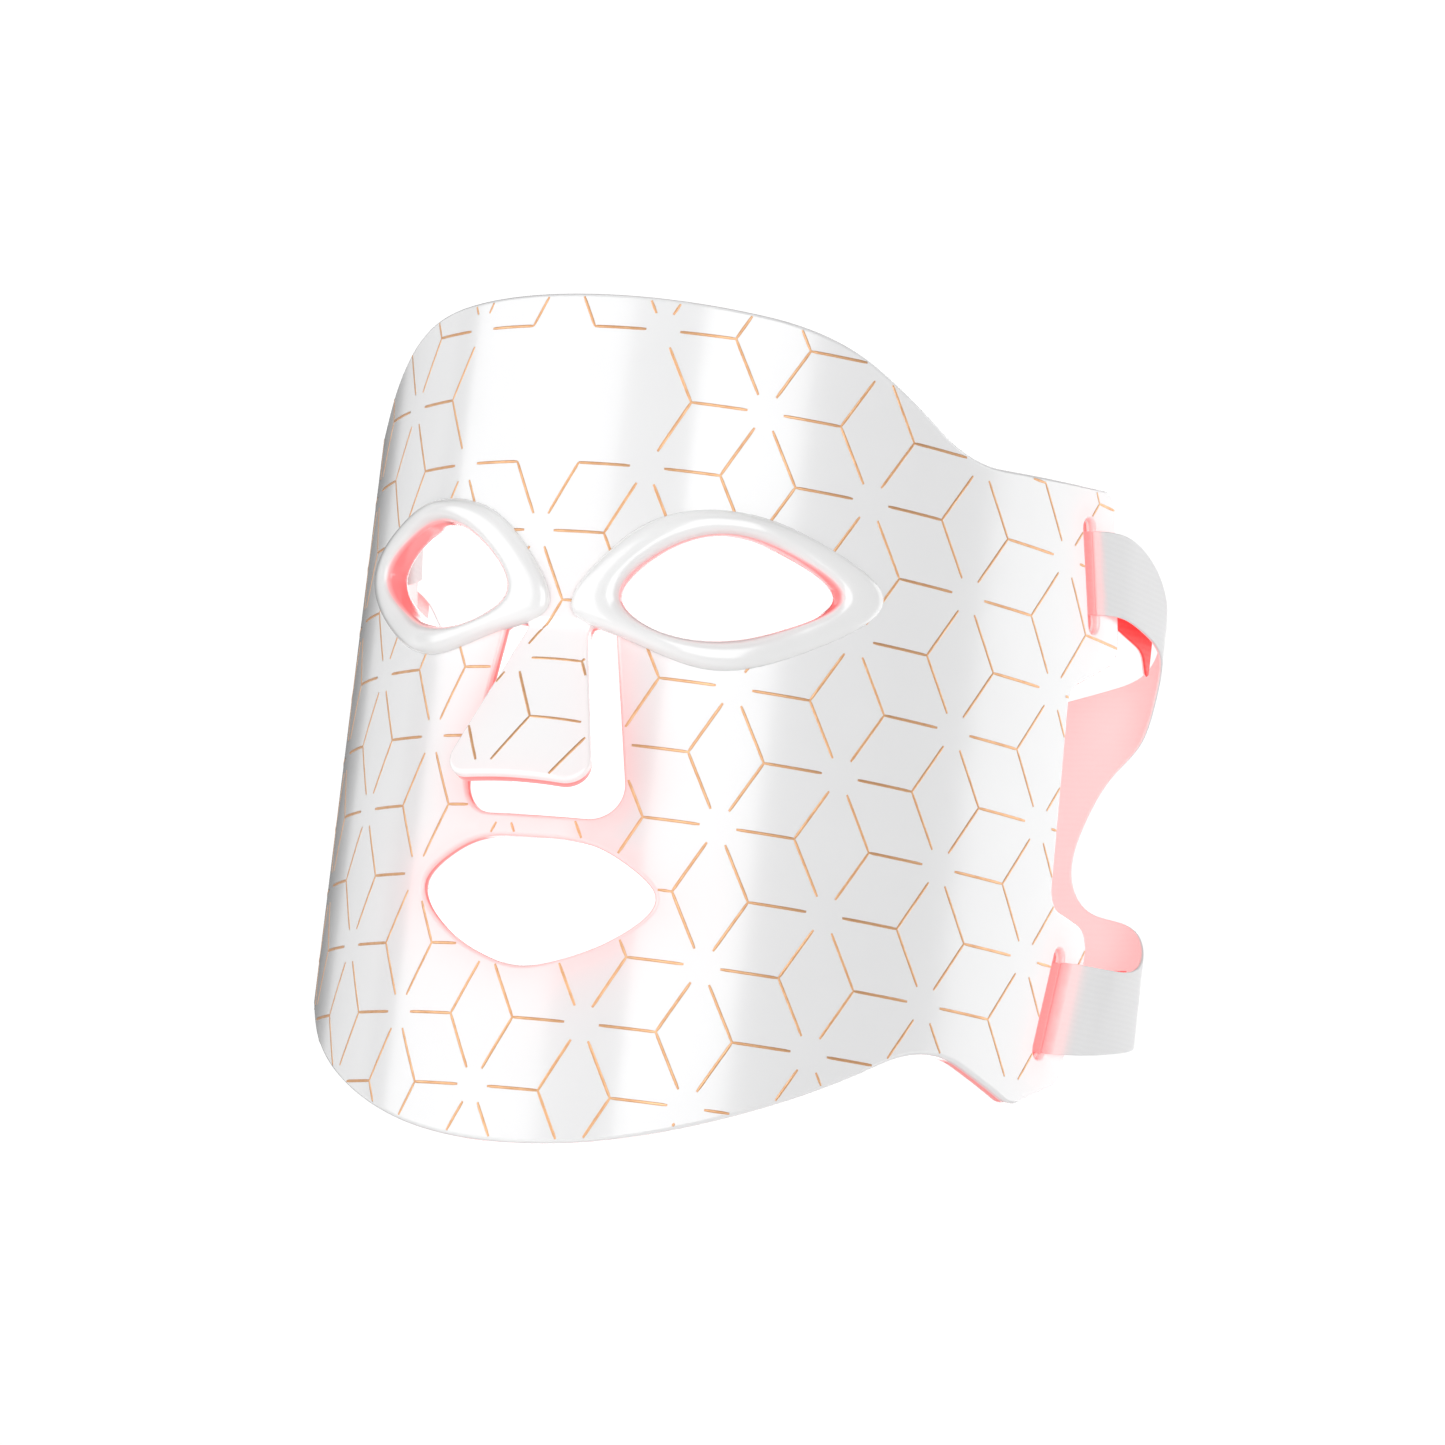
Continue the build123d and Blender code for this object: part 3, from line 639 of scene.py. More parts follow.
def place_sheet(flat, inset):
    points = on_sheet(flat[:, 0], flat[:, 1], inset)
    up = sheet_normal(flat[:, 0])
    flap = on_flap(flat)
    points[flap] = tilted(points[flap], flat[flap, 1])
    up[flap] = tilted(up[flap], flat[flap, 1], vectors=True)
    return points, up


shell = Slab(outer_loops, middle_loops, place_sheet, SHELL_EDGE, (0.0, SPLIT), SHEET_STEP, True)
liner = Slab(inner_loops, middle_loops, place_sheet, LINER_EDGE, (WALL, SPLIT), SHEET_STEP, False)

# painted red LED light: how much of it shows near the holes and on their walls on the shell, and all over the
# liner
to_hole = nearest([MOUTH_OUTER, SLIT_OUTER], shell.flat)
to_slot = nearest(SLOT_LOOPS, shell.flat)
shell_glow = 0.5 * np.exp(-to_hole / 5.0) + 0.45 * np.exp(-to_slot / 3.0)
shell_glow += np.clip((shell.inset - 0.45) / (SPLIT - 0.45), 0.0, 1.0) * 0.9
shell_glow[on_flap(shell.flat)] *= 0.35
liner_glow = 0.38 + 0.6 * np.clip((WALL - liner.inset) / (WALL - SPLIT), 0.0, 1.0)

PARTS = ("front", "left_wing", "right_wing", "flap")


def region(middle):
    """Which of the four parts each face belongs to, by its flat middle."""
    part = np.zeros(len(middle), int)
    part[middle[:, 0] > SEAM_LENGTH] = 1
    part[middle[:, 0] < -SEAM_LENGTH] = 2
    part[on_flap(middle)] = 3
    return part


def wing_bend(side):
    """Points where a wing's bend starts and stops."""
    x, y, heading = section(HINGE_LENGTH, WALL / 2)
    along = Vector((float(np.cos(heading)), float(np.sin(heading)), 0.0)) * WING_BEND_HALF
    middle = Vector((float(x), float(y), 0.0))
    ends = [(middle - along) * MM, (middle + along) * MM]
    return [Vector((side * p.x, p.y, p.z)) for p in ends]


def follow(piece, part):
    """Lets a front piece of the sheet ride on the mask's front; flap and wing pieces only have their
    placement baked in.
    """
    if part == "front":
        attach(piece, "mask_front")
    elif part == "flap":
        start, end = [Vector((0.0, FLAP_AXIS[0], z)) * MM for z in FLAP_BEND]
        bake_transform(piece)
    else:
        start, end = wing_bend(1 if part == "left_wing" else -1)
        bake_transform(piece)


for slab, name, look, glow in ((shell, "shell", WHITE, shell_glow), (liner, "liner", LINER, liner_glow)):
    part_of = region(slab.centres())
    for index, part in enumerate(PARTS):
        faces = [face for face, own in zip(slab.faces, part_of) if own == index]
        piece = make_object(name + "_" + part, slab.points, faces, slab.normals, {"glow": glow})
        piece.data.materials.append(FLAP_WHITE if (name, part) == ("shell", "flap") else look)
        follow(piece, part)
        base = "outer_shell" if name == "shell" else "inner_liner"
        node = "nose_flap_" + name if part == "flap" else base + "_" + part
        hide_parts(node)


# ---------------- lattice of foil lines
SECTION_A, SECTION_B, SECTION_TURN, SECTION_SHIFT = 86.9, 135.5, 0.16565, 0.48
LATTICE_HEIGHT = 37.0
LINE_RISE = 0.07


def lattice_length(u):
    """Length along the sheet of a lattice column."""
    turn = SECTION_TURN * (np.asarray(u, float) - SECTION_SHIFT)
    x, depth = SECTION_A * np.abs(np.sin(turn)), SECTION_B * (1 - np.cos(turn))
    gap = (x[:, None] - RULER_X[None, :]) ** 2 + (depth[:, None] - RULER_Y[None, :] - WALL) ** 2
    return np.sign(turn) * RULER[np.argmin(gap, axis=1)]


def lattice_edges():
    """Ends of every line in lattice units, from each three-way corner towards a six-way centre."""
    blank = [(0.0, 0.0), (1.0, 0.0), (-1.0, 0.0)]
    edges = []
    for m in range(-8, 9):
        for n in range(-8, 4):
            hub = (1.5 * m, sqrt(3.0) * (n + 0.5 * (m % 2)))
            for k in range(6):
                away = (cos(k * pi / 3), sin(k * pi / 3))
                corner = (hub[0] + away[0], hub[1] + away[1])
                if any(abs(p[0] - b[0]) + abs(p[1] - b[1]) < 0.1 for p in (hub, corner) for b in blank):
                    continue
                edges.append((corner, (hub[0] + LATTICE_GAP * away[0], hub[1] + LATTICE_GAP * away[1])))
    return edges


LINE_STEPS = 89
share = np.linspace(0, 1, LINE_STEPS)
flat_lines = []
for corner, stop in lattice_edges():
    u = corner[0] + (stop[0] - corner[0]) * share
    v = corner[1] + (stop[1] - corner[1]) * share
    if np.abs(u).max() < 10:
        coarse = lattice_length(u[::8])
        length = np.interp(share, share[::8], coarse)
        flat_lines.append(np.stack([length, LATTICE_EDGE * v + LATTICE_HEIGHT], -1))
edge_margin = [loop - outward(loop) * 0.75 for loop in outer_loops]
on_material = inside(np.vstack(flat_lines), edge_margin).reshape(len(flat_lines), LINE_STEPS)
LINE_PROFILE = ((-0.5, -0.03), (-0.42, LINE_RISE * 0.7), (0.0, LINE_RISE), (0.42, LINE_RISE * 0.7),
                (0.5, -0.03))
line_points, line_faces, line_centres = [], [], []
for dense, good in zip(flat_lines, on_material):
    ends = np.flatnonzero(np.diff(np.concatenate([[0], good.astype(int), [0]])))
    for a, b in zip(ends[::2], ends[1::2] - 1):
        if b - a < 4:
            continue
        steps = max(2, int((b - a) / 8))
        at = np.linspace(a, b, steps + 1)
        line = np.stack([np.interp(at, np.arange(LINE_STEPS), dense[:, k]) for k in (0, 1)], -1)
        along = np.gradient(line, axis=0)
        along /= np.linalg.norm(along, axis=1)[:, None]
        across = np.stack([-along[:, 1], along[:, 0]], -1)
        base, width = len(line_points), len(LINE_PROFILE)
        for row, (point, side) in enumerate(zip(line, across)):
            narrow = 0.72 if row in (0, steps) else 1.0
            line_points += [(*(point + side * q * LINE_WIDTH * narrow), -rise) for q, rise in LINE_PROFILE]
        for row in range(steps):
            for k in range(width - 1):
                i = base + row * width + k
                line_faces.append([i, i + width, i + width + 1, i + 1])
                line_centres.append(line[row])
line_points = np.array(line_points)
placed, ups = place_sheet(line_points[:, :2], line_points[:, 2])
part_index = region(np.array(line_centres))
first_face = line_faces[0]
a, b, c = (placed[i] for i in first_face[:3])
if np.dot(np.cross(b - a, c - a), ups[first_face[0]]) < 0:
    line_faces = [face[::-1] for face in line_faces]
for index, part in enumerate(PARTS):
    faces = [face for face, own in zip(line_faces, part_index) if own == index]
    piece = make_object("lines_" + part, placed, faces)
    piece.data.materials.append(INK)
    follow(piece, part)


# ---------------- eye rims
# share of the way from the outer edge to the opening, and height over the shell
RIM_PROFILE = (
    (0.0, -0.6), (0.0, 0.25), (0.015, 0.75), (0.06, 1.25), (0.14, 1.75), (0.26, 2.2), (0.42, 2.5),
    (0.58, 2.55), (0.74, 2.3), (0.86, 1.8), (0.94, 1.1), (0.985, 0.3), (1.0, -0.8), (1.0, -2.2),
    (0.995, -3.6), (0.97, -4.2), (0.9, -4.55), (0.75, -4.6), (0.55, -4.55), (0.45, -4.3), (0.42, -3.9),
    (0.42, -3.45),
)
RIM_POINTS = 190                # points round the rim
EYE_CENTRE = (31.5, -0.8)
CROWN_DROP, CROWN_DROP_START, CROWN_DROP_RUN = 0.55, 34.0, 16.0     # the crown sinks towards the temple
FLANGE_TOP, FLANGE_START, FLANGE_WIDTH = -3.3, 0.58, 4.6    # the grip flange on the face side


def eye_rim(name, sign):
    centre = np.array(EYE_CENTRE)
    edge = spaced(spline(EYE_RIM, True, 60), 0.3)
    hole = spaced(spline(EYE_OPENING, True, 60), 0.3)
    run = spaced(edge, 1.0)[:RIM_POINTS]
    angle_edge = np.arctan2(*(run - centre).T[::-1])
    angle_hole = np.arctan2(*(hole - centre).T[::-1])
    order = np.argsort(angle_hole)
    reach = np.linalg.norm(hole - centre, axis=1)
    radius = np.interp(angle_edge, angle_hole[order], reach[order], period=2 * pi)
    inner = centre + np.stack([np.cos(angle_edge), np.sin(angle_edge)], -1) * radius[:, None]
    rows = []
    for share, height in RIM_PROFILE:
        flat = run + (inner - run) * share
        if height < FLANGE_TOP:
            away = (run - inner) / np.linalg.norm(run - inner, axis=1)[:, None]
            flat = inner + away * (1.0 - share) / FLANGE_START * FLANGE_WIDTH
        length = length_at_x(flat[:, 0] * sign)
        drop = CROWN_DROP * smooth((run[:, 0] - CROWN_DROP_START) / CROWN_DROP_RUN)
        lower = 1.0 - drop if height > 0 else 1.0
        rows.append(on_sheet(length, flat[:, 1], -height * lower * np.ones(len(flat))))
    width = len(run)
    points = np.vstack(rows)
    faces = []
    for r in range(len(rows) - 1):
        for i in range(width):
            j = (i + 1) % width
            face = [r * width + i, r * width + j, (r + 1) * width + j, (r + 1) * width + i]
            faces.append(face)
    heights = np.repeat([h for _, h in RIM_PROFILE], width)
    inward = np.repeat([share for share, _ in RIM_PROFILE], width)
    # painted red LED light on the rim's inner wall towards the opening and on its grip flange
    glow = np.where(inward > 0.8, np.clip((1.2 - heights) / 1.6, 0.0, 1.0), 0.0) * 0.95
    glow = np.maximum(glow, np.clip((-heights - 3.0) / 1.0, 0.0, 1.0))
    test = faces[width * 6]
    a, b, c = (points[i] for i in test[:3])
    if np.cross(b - a, c - a)[1] > 0:
        faces = [face[::-1] for face in faces]
    piece = make_object("rim_" + name, points, faces, values={"glow": glow})
    piece.data.materials.append(RIM)
    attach(piece, "mask_front")
    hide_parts("eye_rim_" + name)


eye_rim("left", 1.0)
eye_rim("right", -1.0)


# ---------------- lights behind their windows in the liner
LED = led_glass()
WINDOW_RADIUS, WINDOW_RISE = 2.5, 0.32
LIGHT_NODES = {"leds_forehead": "mask_front", "leds_cheeks": "mask_front", "leds_chin": "mask_front",
               "leds_left_wing": "left_wing", "leds_right_wing": "right_wing", "nose_flap_leds": "nose_flap"}


def solids_of(node):
    """Corner points of each separate solid of a CAD node, in millimetres."""
    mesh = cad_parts[node].data
    owner = list(range(len(mesh.vertices)))

    def root(i):
        while owner[i] != i:
            owner[i] = owner[owner[i]]
            i = owner[i]
        return i

    places = {}
    for vertex in mesh.vertices:
        key = tuple(round(c, 6) for c in vertex.co)
        owner[vertex.index] = root(places.setdefault(key, vertex.index))
    for edge in mesh.edges:
        owner[root(edge.vertices[0])] = root(edge.vertices[1])
    groups = {}
    for vertex in mesh.vertices:
        groups.setdefault(root(vertex.index), []).append(np.array(vertex.co) / MM)
    return [np.array(group) for group in groups.values()]


def untilted(point):
    """A point of the tilted flap, turned back to where the flap is flush."""
    turn = radians(FLAP_TILT)
    y, z = point[1] - FLAP_AXIS[0], point[2] - FLAP_AXIS[1]
    return np.array([point[0], FLAP_AXIS[0] + y * cos(turn) - z * sin(turn),
                     FLAP_AXIS[1] + y * sin(turn) + z * cos(turn)])


def light_windows(node, body):
    """Domed clear windows over a node's lights."""
    rings, around = ((0.0, 1.0), (0.3, 0.92), (0.6, 0.68), (0.85, 0.3), (1.0, -0.1)), 20
    dome = [(0.0, 0.0, 1.0, 0.0)]
    for reach, rise in rings[1:]:
        for k in range(around):
            a = 2 * pi * k / around
            dome.append((reach * cos(a), reach * sin(a), rise, reach))
    dome = np.array(dome)
    faces_of_one = [[0, 1 + (k + 1) % around, 1 + k] for k in range(around)]
    for ring in range(len(rings) - 2):
        for k in range(around):
            i, j = 1 + ring * around, (k + 1) % around
            faces_of_one.append([i + k, i + j, i + around + j, i + around + k])
    flat, inset, faces = [], [], []
    seat_x, seat_y, _ = section(RULER, 2.2)
    for solid in solids_of(node):
        centre = solid.mean(0)
        if body == "nose_flap":
            centre = untilted(centre)
        nearest_row = np.argmin((abs(centre[0]) - seat_x) ** 2 + (centre[1] - seat_y) ** 2)
        length = RULER[nearest_row] * (1 if centre[0] > 0 else -1)
        start = len(flat) * len(dome)
        flat.append(dome[:, :2] * WINDOW_RADIUS + [length, centre[2]])
        inset.append(WALL + WINDOW_RISE * dome[:, 2])
        faces += [[start + i for i in face] for face in faces_of_one]
    points, _ = place_sheet(np.vstack(flat), np.concatenate(inset))
    glow = np.tile(np.maximum(0.0, 1.0 - dome[:, 3] * 1.25) ** 1.5, len(flat))
    piece = make_object("windows_" + node, points, faces, values={"glow": glow})
    piece.data.materials.append(LED)
    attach(piece, body)
    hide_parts(node)


for node, body in LIGHT_NODES.items():
    light_windows(node, body)


def socket_boss():
    """The raised housing of the charging socket, taken from the liner's CAD solid."""
    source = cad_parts["inner_liner_right_wing"].data
    points = np.array([vertex.co for vertex in source.vertices]) / MM
    gap = (points[:, :1] + RULER_X[None, ::4]) ** 2 + (points[:, 1:2] - RULER_Y[None, ::4]) ** 2
    deep = np.sqrt(gap.min(1)) > WALL + 0.12
    faces = [list(p.vertices) for p in source.polygons if any(deep[i] for i in p.vertices)]
    # the housing carries a little painted red LED light, as the liner does
    piece = make_object("socket_housing", points, faces, values={"glow": np.full(len(points), 0.25)})
    piece.data.materials.append(LINER)
    modifier = piece.modifiers.new("corners", "EDGE_SPLIT")
    modifier.split_angle = radians(35)
    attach(piece, "right_wing")
    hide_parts("inner_liner_right_wing")


socket_boss()


# ---------------- head strap
# Running distance p is measured along the strap's plan, 0 where the left side run meets the corner, growing
# towards the back; the flat strap uses u, which is negative on the left and 0 at the middle of the back.
STRAP_SHIFT, STRAP_HALF, STRAP_CORNER, STRAP_DEPTH, STRAP_BACK = 1.45, 85.4, 14.0, 143.9, 500.0
STRAP_SIDE = radians(3.0)       # the side runs lean in by this much towards the front
STRAP_THICK = 0.8
SPREAD = np.arcsin((STRAP_HALF - STRAP_CORNER) / (STRAP_BACK - STRAP_CORNER))
CORNER_TURN = pi / 2 + STRAP_SIDE - SPREAD
CORNER_RUN = STRAP_CORNER * CORNER_TURN
MIDDLE_RUN = CORNER_RUN + STRAP_BACK * SPREAD
TOP_EDGE = ((-8.6, 29.2), (-0.4, 24.0), (6.5, 15.8), (13.1, 8.8), (21.6, 4.9), (29.8, 2.4), (50.0, -4.0),
            (75.0, -10.5), (MIDDLE_RUN, -13.0))
NOTCH = ((-8.4, 13.4), (-1.3, 11.6), (4.0, 8.3), (8.5, 1.8), (13.1, -7.0), (19.5, -13.4), (23.7, -19.2),
         (27.0, -26.0), (29.2, -33.0), (29.0, -39.5), (25.0, -45.0), (17.1, -47.2), (11.0, -50.0),
         (5.0, -55.0), (-1.0, -58.9))
BOTTOM_EDGE = ((-3.1, -77.3), (5.0, -75.2), (12.5, -72.0), (20.0, -69.0), (40.0, -63.0), (70.0, -58.5),
               (MIDDLE_RUN, -57.0))
# Path of the webbing through a slot and round the bar behind it: (distance behind the slot, height over the
# shell), from the outside of the wing to the side towards the face.
ROUND_BAR = ((9.0, 1.4), (6.0, 1.15), (4.0, 0.95), (2.7, 0.7), (1.75, 0.1), (1.4, -0.8), (1.3, -1.7),
             (1.4, -2.6), (1.75, -3.5), (2.7, -4.1), (4.5, -4.35))
THROUGH = ((15.0, 1.85), (12.0, 1.65), *ROUND_BAR, (8.0, -4.5), (12.0, -4.6), (15.0, -4.7))
ROUND_START = 15.0              # distance behind the slot where the strap leaves its own plan for that path


def fine_path(points):
    """A smooth line through points, the run along it and its direction."""
    line = spaced(spline(points), 0.2, closed=False)
    run = np.append(0.0, np.cumsum(np.linalg.norm(np.diff(line, axis=0), axis=1)))
    tangent = np.gradient(line, axis=0)
    return line, run, tangent / np.linalg.norm(tangent, axis=1)[:, None]


ROUND, ROUND_RUN, ROUND_TANGENT = fine_path(THROUGH)
INNER_END = ROUND_START - ROUND_RUN[-1]      # the same end, measured along the flat strap
SIDE_SWELL, LOW_SWELL = 2.0, 2.6             # how far the left arms bulge out, and how much more low down
LEVEL_SPLIT = -22.0             # height between the upper and the lower arms
CORNER_DEPTH = 123.9            # depth where a straight side run meets its corner


def slot_depth_at(height):
    """Depth of the middle of the slot at a height, for the upper or the lower slot."""
    rows = [depth - (height - middle) * np.tan(radians(lean)) for depth, middle, lean in SLOTS]
    return np.where(height > LEVEL_SPLIT, rows[0], rows[1])


def run_behind(behind, height):
    """Running distance p of a point this far behind its slot on the straight side."""
    corner_depth = STRAP_DEPTH - STRAP_BACK + (STRAP_BACK - STRAP_CORNER) * cos(SPREAD) + \
        STRAP_CORNER * sin(-STRAP_SIDE)
    return float((slot_depth_at(np.float64(height)) + behind - corner_depth) / cos(STRAP_SIDE))


SEAM_BEHIND = 1.0               # where the strap meets the piece that turns round the bar, inside the slot


def strap_loop_flat():
    """Edge of the flat strap: its left arms run into their slots, its right arms end behind the tails."""
    def half(top, notch, lower, bottom):
        edges = (spline(top + TOP_EDGE)[::-1], spline(notch + NOTCH + lower), spline(bottom + BOTTOM_EDGE))
        return np.vstack(edges) - [MIDDLE_RUN, 0.0]

    def seam(height):
        return run_behind(SEAM_BEHIND, height), height

    left = half((seam(30.7), (-20.5, 32.0)), (seam(13.5), (-17.7, 14.6)),
                ((-14.0, -60.6), seam(-61.5)), (seam(-81.5), (-20.0, -80.3)))
    right = half(((-19.6, 31.9),), ((-13.7, 14.0),), ((-12.9, -60.6),), ((-17.2, -80.2),))
    return turned(spaced(np.vstack([left, flip(right)[1:-1]]), 1.2), True)


def strap_plan(flat, offset):
    """Flat strap to space at a distance outside its middle surface."""
    left = flat[:, 0] < 0
    p = MIDDLE_RUN - np.abs(flat[:, 0])
    turn = np.where(p > CORNER_RUN, (MIDDLE_RUN - p) / STRAP_BACK,
                    SPREAD + (CORNER_RUN - np.maximum(p, 0.0)) / STRAP_CORNER)
    radius = np.where(p > CORNER_RUN, STRAP_BACK, STRAP_CORNER)
    slide = STRAP_BACK - STRAP_CORNER
    x = np.where(p > CORNER_RUN, 0.0, slide * sin(SPREAD)) + (radius + offset) * np.sin(turn)
    depth = STRAP_DEPTH - STRAP_BACK + np.where(p > CORNER_RUN, 0.0, slide * cos(SPREAD))
    depth = depth + (radius + offset) * np.cos(turn)
    run = np.minimum(p, 0.0)
    x, depth = x + run * sin(STRAP_SIDE), depth + run * cos(STRAP_SIDE)
    swell = SIDE_SWELL + LOW_SWELL * smooth((-flat[:, 1] - 5.0) / 45.0)
    x = x + np.where(left, swell, 0.0) * smooth((depth - 98.0) / 26.0) * x / STRAP_HALF
    side = np.where(left, 1.0, -1.0)
    points = np.stack([STRAP_SHIFT + side * x, depth - WALL, flat[:, 1]], -1)
    behind = depth - slot_depth_at(flat[:, 1])
    near = left & (behind < ROUND_START + 6.0) & (p < 5.0)
    if near.any():
        along = ROUND_START - behind[near]
        middle = [np.interp(along, ROUND_RUN, ROUND[:, k]) for k in (0, 1)]
        tangent = [np.interp(along, ROUND_RUN, ROUND_TANGENT[:, k]) for k in (0, 1)]
        beyond = np.minimum(along, 0.0)
        q = middle[0] - beyond + tangent[1] * offset_of(offset, near)
        over = middle[1] - beyond * 0.07 - tangent[0] * offset_of(offset, near)
        heights = flat[near, 1]
        depths = slot_depth_at(heights) + q
        wrapped = on_sheet(length_at_depth(depths), heights, -over)
        share = smooth((behind[near] - ROUND_START + 5.0) / 9.0)[:, None]
        points[near] = wrapped * (1 - share) + points[near] * share
    return points


def offset_of(offset, chosen):
    return offset[chosen] if np.ndim(offset) else offset


def placer(at, thick):
    """Map to space from one that takes an offset; inset is measured inwards from the outer face."""
    def place(flat, inset):
        offset = thick / 2 - inset
        up = at(flat, offset + 0.1) - at(flat, offset - 0.1)
        return at(flat, offset), up / np.linalg.norm(up, axis=1)[:, None]
    return place


place_strap = placer(strap_plan, STRAP_THICK)


def both_faces(name, loops, place, thick, look, glow, radius=0.3, step=2.6, mirrored=False):
    """Thin sheet with two faces and round edges; glow gives the light for flat points and their inset."""
    half = thick / 2
    top = Slab(loops, loops, place, radius, (0.0, half), step, True)
    low = Slab(loops, loops, place, radius, (thick, half), step, False)
    start = len(top.points)
    faces = top.faces + [[i + start for i in face] for face in low.faces]
    if mirrored:
        faces = [face[::-1] for face in faces]
    flat, inset = np.vstack([top.flat, low.flat]), np.concatenate([top.inset, low.inset])
    points, normals = np.vstack([top.points, low.points]), np.vstack([top.normals, low.normals])
    piece = make_object(name, points, faces, normals, {"glow": glow(flat, inset)})
    piece.data.materials.append(look)
    return piece


def strap_glow(flat, inset):
    """Painted LED light on the strap: inside pink at the left and flat painted white elsewhere, red in the
    slots.
    """
    p = MIDDLE_RUN - np.abs(flat[:, 0])
    behind = p * cos(STRAP_SIDE) + CORNER_DEPTH - slot_depth_at(flat[:, 1])
    inner = np.clip((inset - 0.3) / 0.4, 0.0, 1.0)
    left = flat[:, 0] < 0
    shade = np.where(left, 1.0 - 2.0 * smooth((p - 20.0) / 40.0), -1.0)
    reach = np.where(flat[:, 1] > LEVEL_SPLIT, 5.0, 14.0)
    in_slot = np.where(left & (p < 0), 1.5 * (1.0 - smooth((behind - 0.2) / reach)) ** 2, 0.0)
    return inner * shade + in_slot * (1.0 - inner)


strap = both_faces("strap_webbing", [strap_loop_flat()], place_strap, STRAP_THICK, STRAP, strap_glow,
                   step=2.0)
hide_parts("head_strap")
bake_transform(strap)
# heights of a turn's edges at its two ends: over the arm, then at the inner end
TURNS = (("upper", (30.7, 30.3), (13.5, 13.6)), ("lower", (-61.5, -61.6), (-81.5, -78.9)))
for level, tops, bottoms in TURNS:
    corners = [(run_behind(SEAM_BEHIND, tops[0]), tops[0], 0.2),
               (run_behind(INNER_END, tops[1]), tops[1], 0.4),
               (run_behind(INNER_END, bottoms[1]), bottoms[1], 0.4),
               (run_behind(SEAM_BEHIND, bottoms[0]), bottoms[0], 0.2)]
    edge = spaced(rounded([(p - MIDDLE_RUN, height, radius) for p, height, radius in corners]), 0.9)
    turn = both_faces(level + "_left_turn", [turned(edge, True)], place_strap, STRAP_THICK, STRAP,
                      strap_glow, step=0.8)
    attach(turn, "left_wing")
    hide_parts("strap_loops_left")


# ---------------- bands round the right bars
RING = ((15.6, 1.75), (12.0, 1.6), *ROUND_BAR, (8.0, -4.4), (10.6, -4.2), (12.6, -3.2), (13.5, -1.8),
        (13.4, -0.4), (12.6, 0.5))
BAND_HALF = 9.6


def ring_place(slot):
    """Flat band (distance along the ring, height along the slot) round a right bar."""
    line, run, tangent = fine_path(RING)

    def at(flat, offset):
        q = np.interp(flat[:, 0], run, line[:, 0]) + np.interp(flat[:, 0], run, tangent[:, 1]) * offset
        over = np.interp(flat[:, 0], run, line[:, 1]) - np.interp(flat[:, 0], run, tangent[:, 0]) * offset
        d, z = by_slot(slot, q, flat[:, 1])
        return on_sheet(length_at_depth(d), z, -over) * [-1.0, 1.0, 1.0]
    return placer(at, STRAP_THICK), run[-1]


for level, slot in zip(("upper", "lower"), SLOTS):
    place, total = ring_place(slot)
    corners = ((0.2, -BAND_HALF, 0.4), (total - 0.2, -BAND_HALF, 0.4), (total - 0.2, BAND_HALF, 0.4),
               (0.2, BAND_HALF, 0.4))
    edge = turned(spaced(rounded(corners), 0.9), True)
    # the bands' inner faces carry painted pink LED light
    band = both_faces(level + "_right_band", [edge], place, STRAP_THICK, STRAP,
                      lambda flat, inset: np.clip((inset - 0.3) / 0.4, 0, 1) * 0.8, step=0.9)
    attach(band, "right_wing")
    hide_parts("strap_loops_right")


# ---------------- tails and hook-and-loop pads
TAILS = {"upper": ((105.4, 30.3, 0.6), (117.0, 28.6, 6.0), (123.2, 24.0, 2.0), (123.2, 2.4, 0.8),
                   (119.6, 10.0, 6.0), (113.5, 13.8, 5.0), (110.3, 14.6, 0.4)),
         "lower": ((110.8, -61.6, 0.6), (122.8, -59.2, 1.0), (122.8, -75.6, 1.0), (106.9, -78.9, 0.6))}
TAIL_REACH = 1.0                # how far a tail's visible webbing runs forward to meet its band
PAD_BACK, PAD_LENGTH, PAD_THICK = 117.3, 9.0, 0.4
PADS = {"upper": (19.4, 10.0), "lower": (-68.4, 13.6)}      # middle and height
TAIL_OFF, HOOK_OFF, LOOP_OFF = 1.66, 1.04, 0.62     # distance of each layer from the arm's middle surface


def plan_of(node):
    """A CAD strip's middle plane as x over (1, depth, height)."""
    points = np.array([vertex.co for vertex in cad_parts[node].data.vertices]) / MM
    rows = np.stack([np.ones(len(points)), points[:, 1] + WALL, points[:, 2]], -1)
    return np.linalg.lstsq(rows, points[:, 0], rcond=None)[0]


def arm_place(side, middle, thick, plan=None):
    """Map from (depth, height) to a layer beside an arm, middle mm outside the arm's own middle surface.

    A tail starts on its CAD plane and curves over to the arm behind its hinge.
    """
    def at(flat, offset):
        p = (flat[:, 0] - CORNER_DEPTH) / cos(STRAP_SIDE)
        points = strap_plan(np.stack([side * (p - MIDDLE_RUN), flat[:, 1]], -1), middle + offset)
        if plan is not None:
            a, b, c = plan
            on_plan = a + b * flat[:, 0] + c * flat[:, 1] + side * offset
            share = smooth((flat[:, 0] - slot_depth_at(flat[:, 1]) - 16.5) / 9.0)
            points[:, 0] = on_plan * (1 - share) + points[:, 0] * share
        return points
    return placer(at, thick)


def layer(name, corners, place, side, thick, look, glow, body, node):
    """A flat strip of tail or pad beside an arm."""
    edge = turned(spaced(rounded(corners), 0.9), True)
    piece = both_faces(name, [edge], place, thick, look, glow, radius=thick * 0.35, step=1.6,
                       mirrored=side < 0)
    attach(piece, body)
    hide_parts(node)
    return piece


def pad_corners(height, tall):
    half, rise = PAD_LENGTH / 2, tall / 2
    return ((PAD_BACK - half, height - rise, 0.8), (PAD_BACK + half, height - rise, 0.8),
            (PAD_BACK + half, height + rise, 0.8), (PAD_BACK - half, height + rise, 0.8))


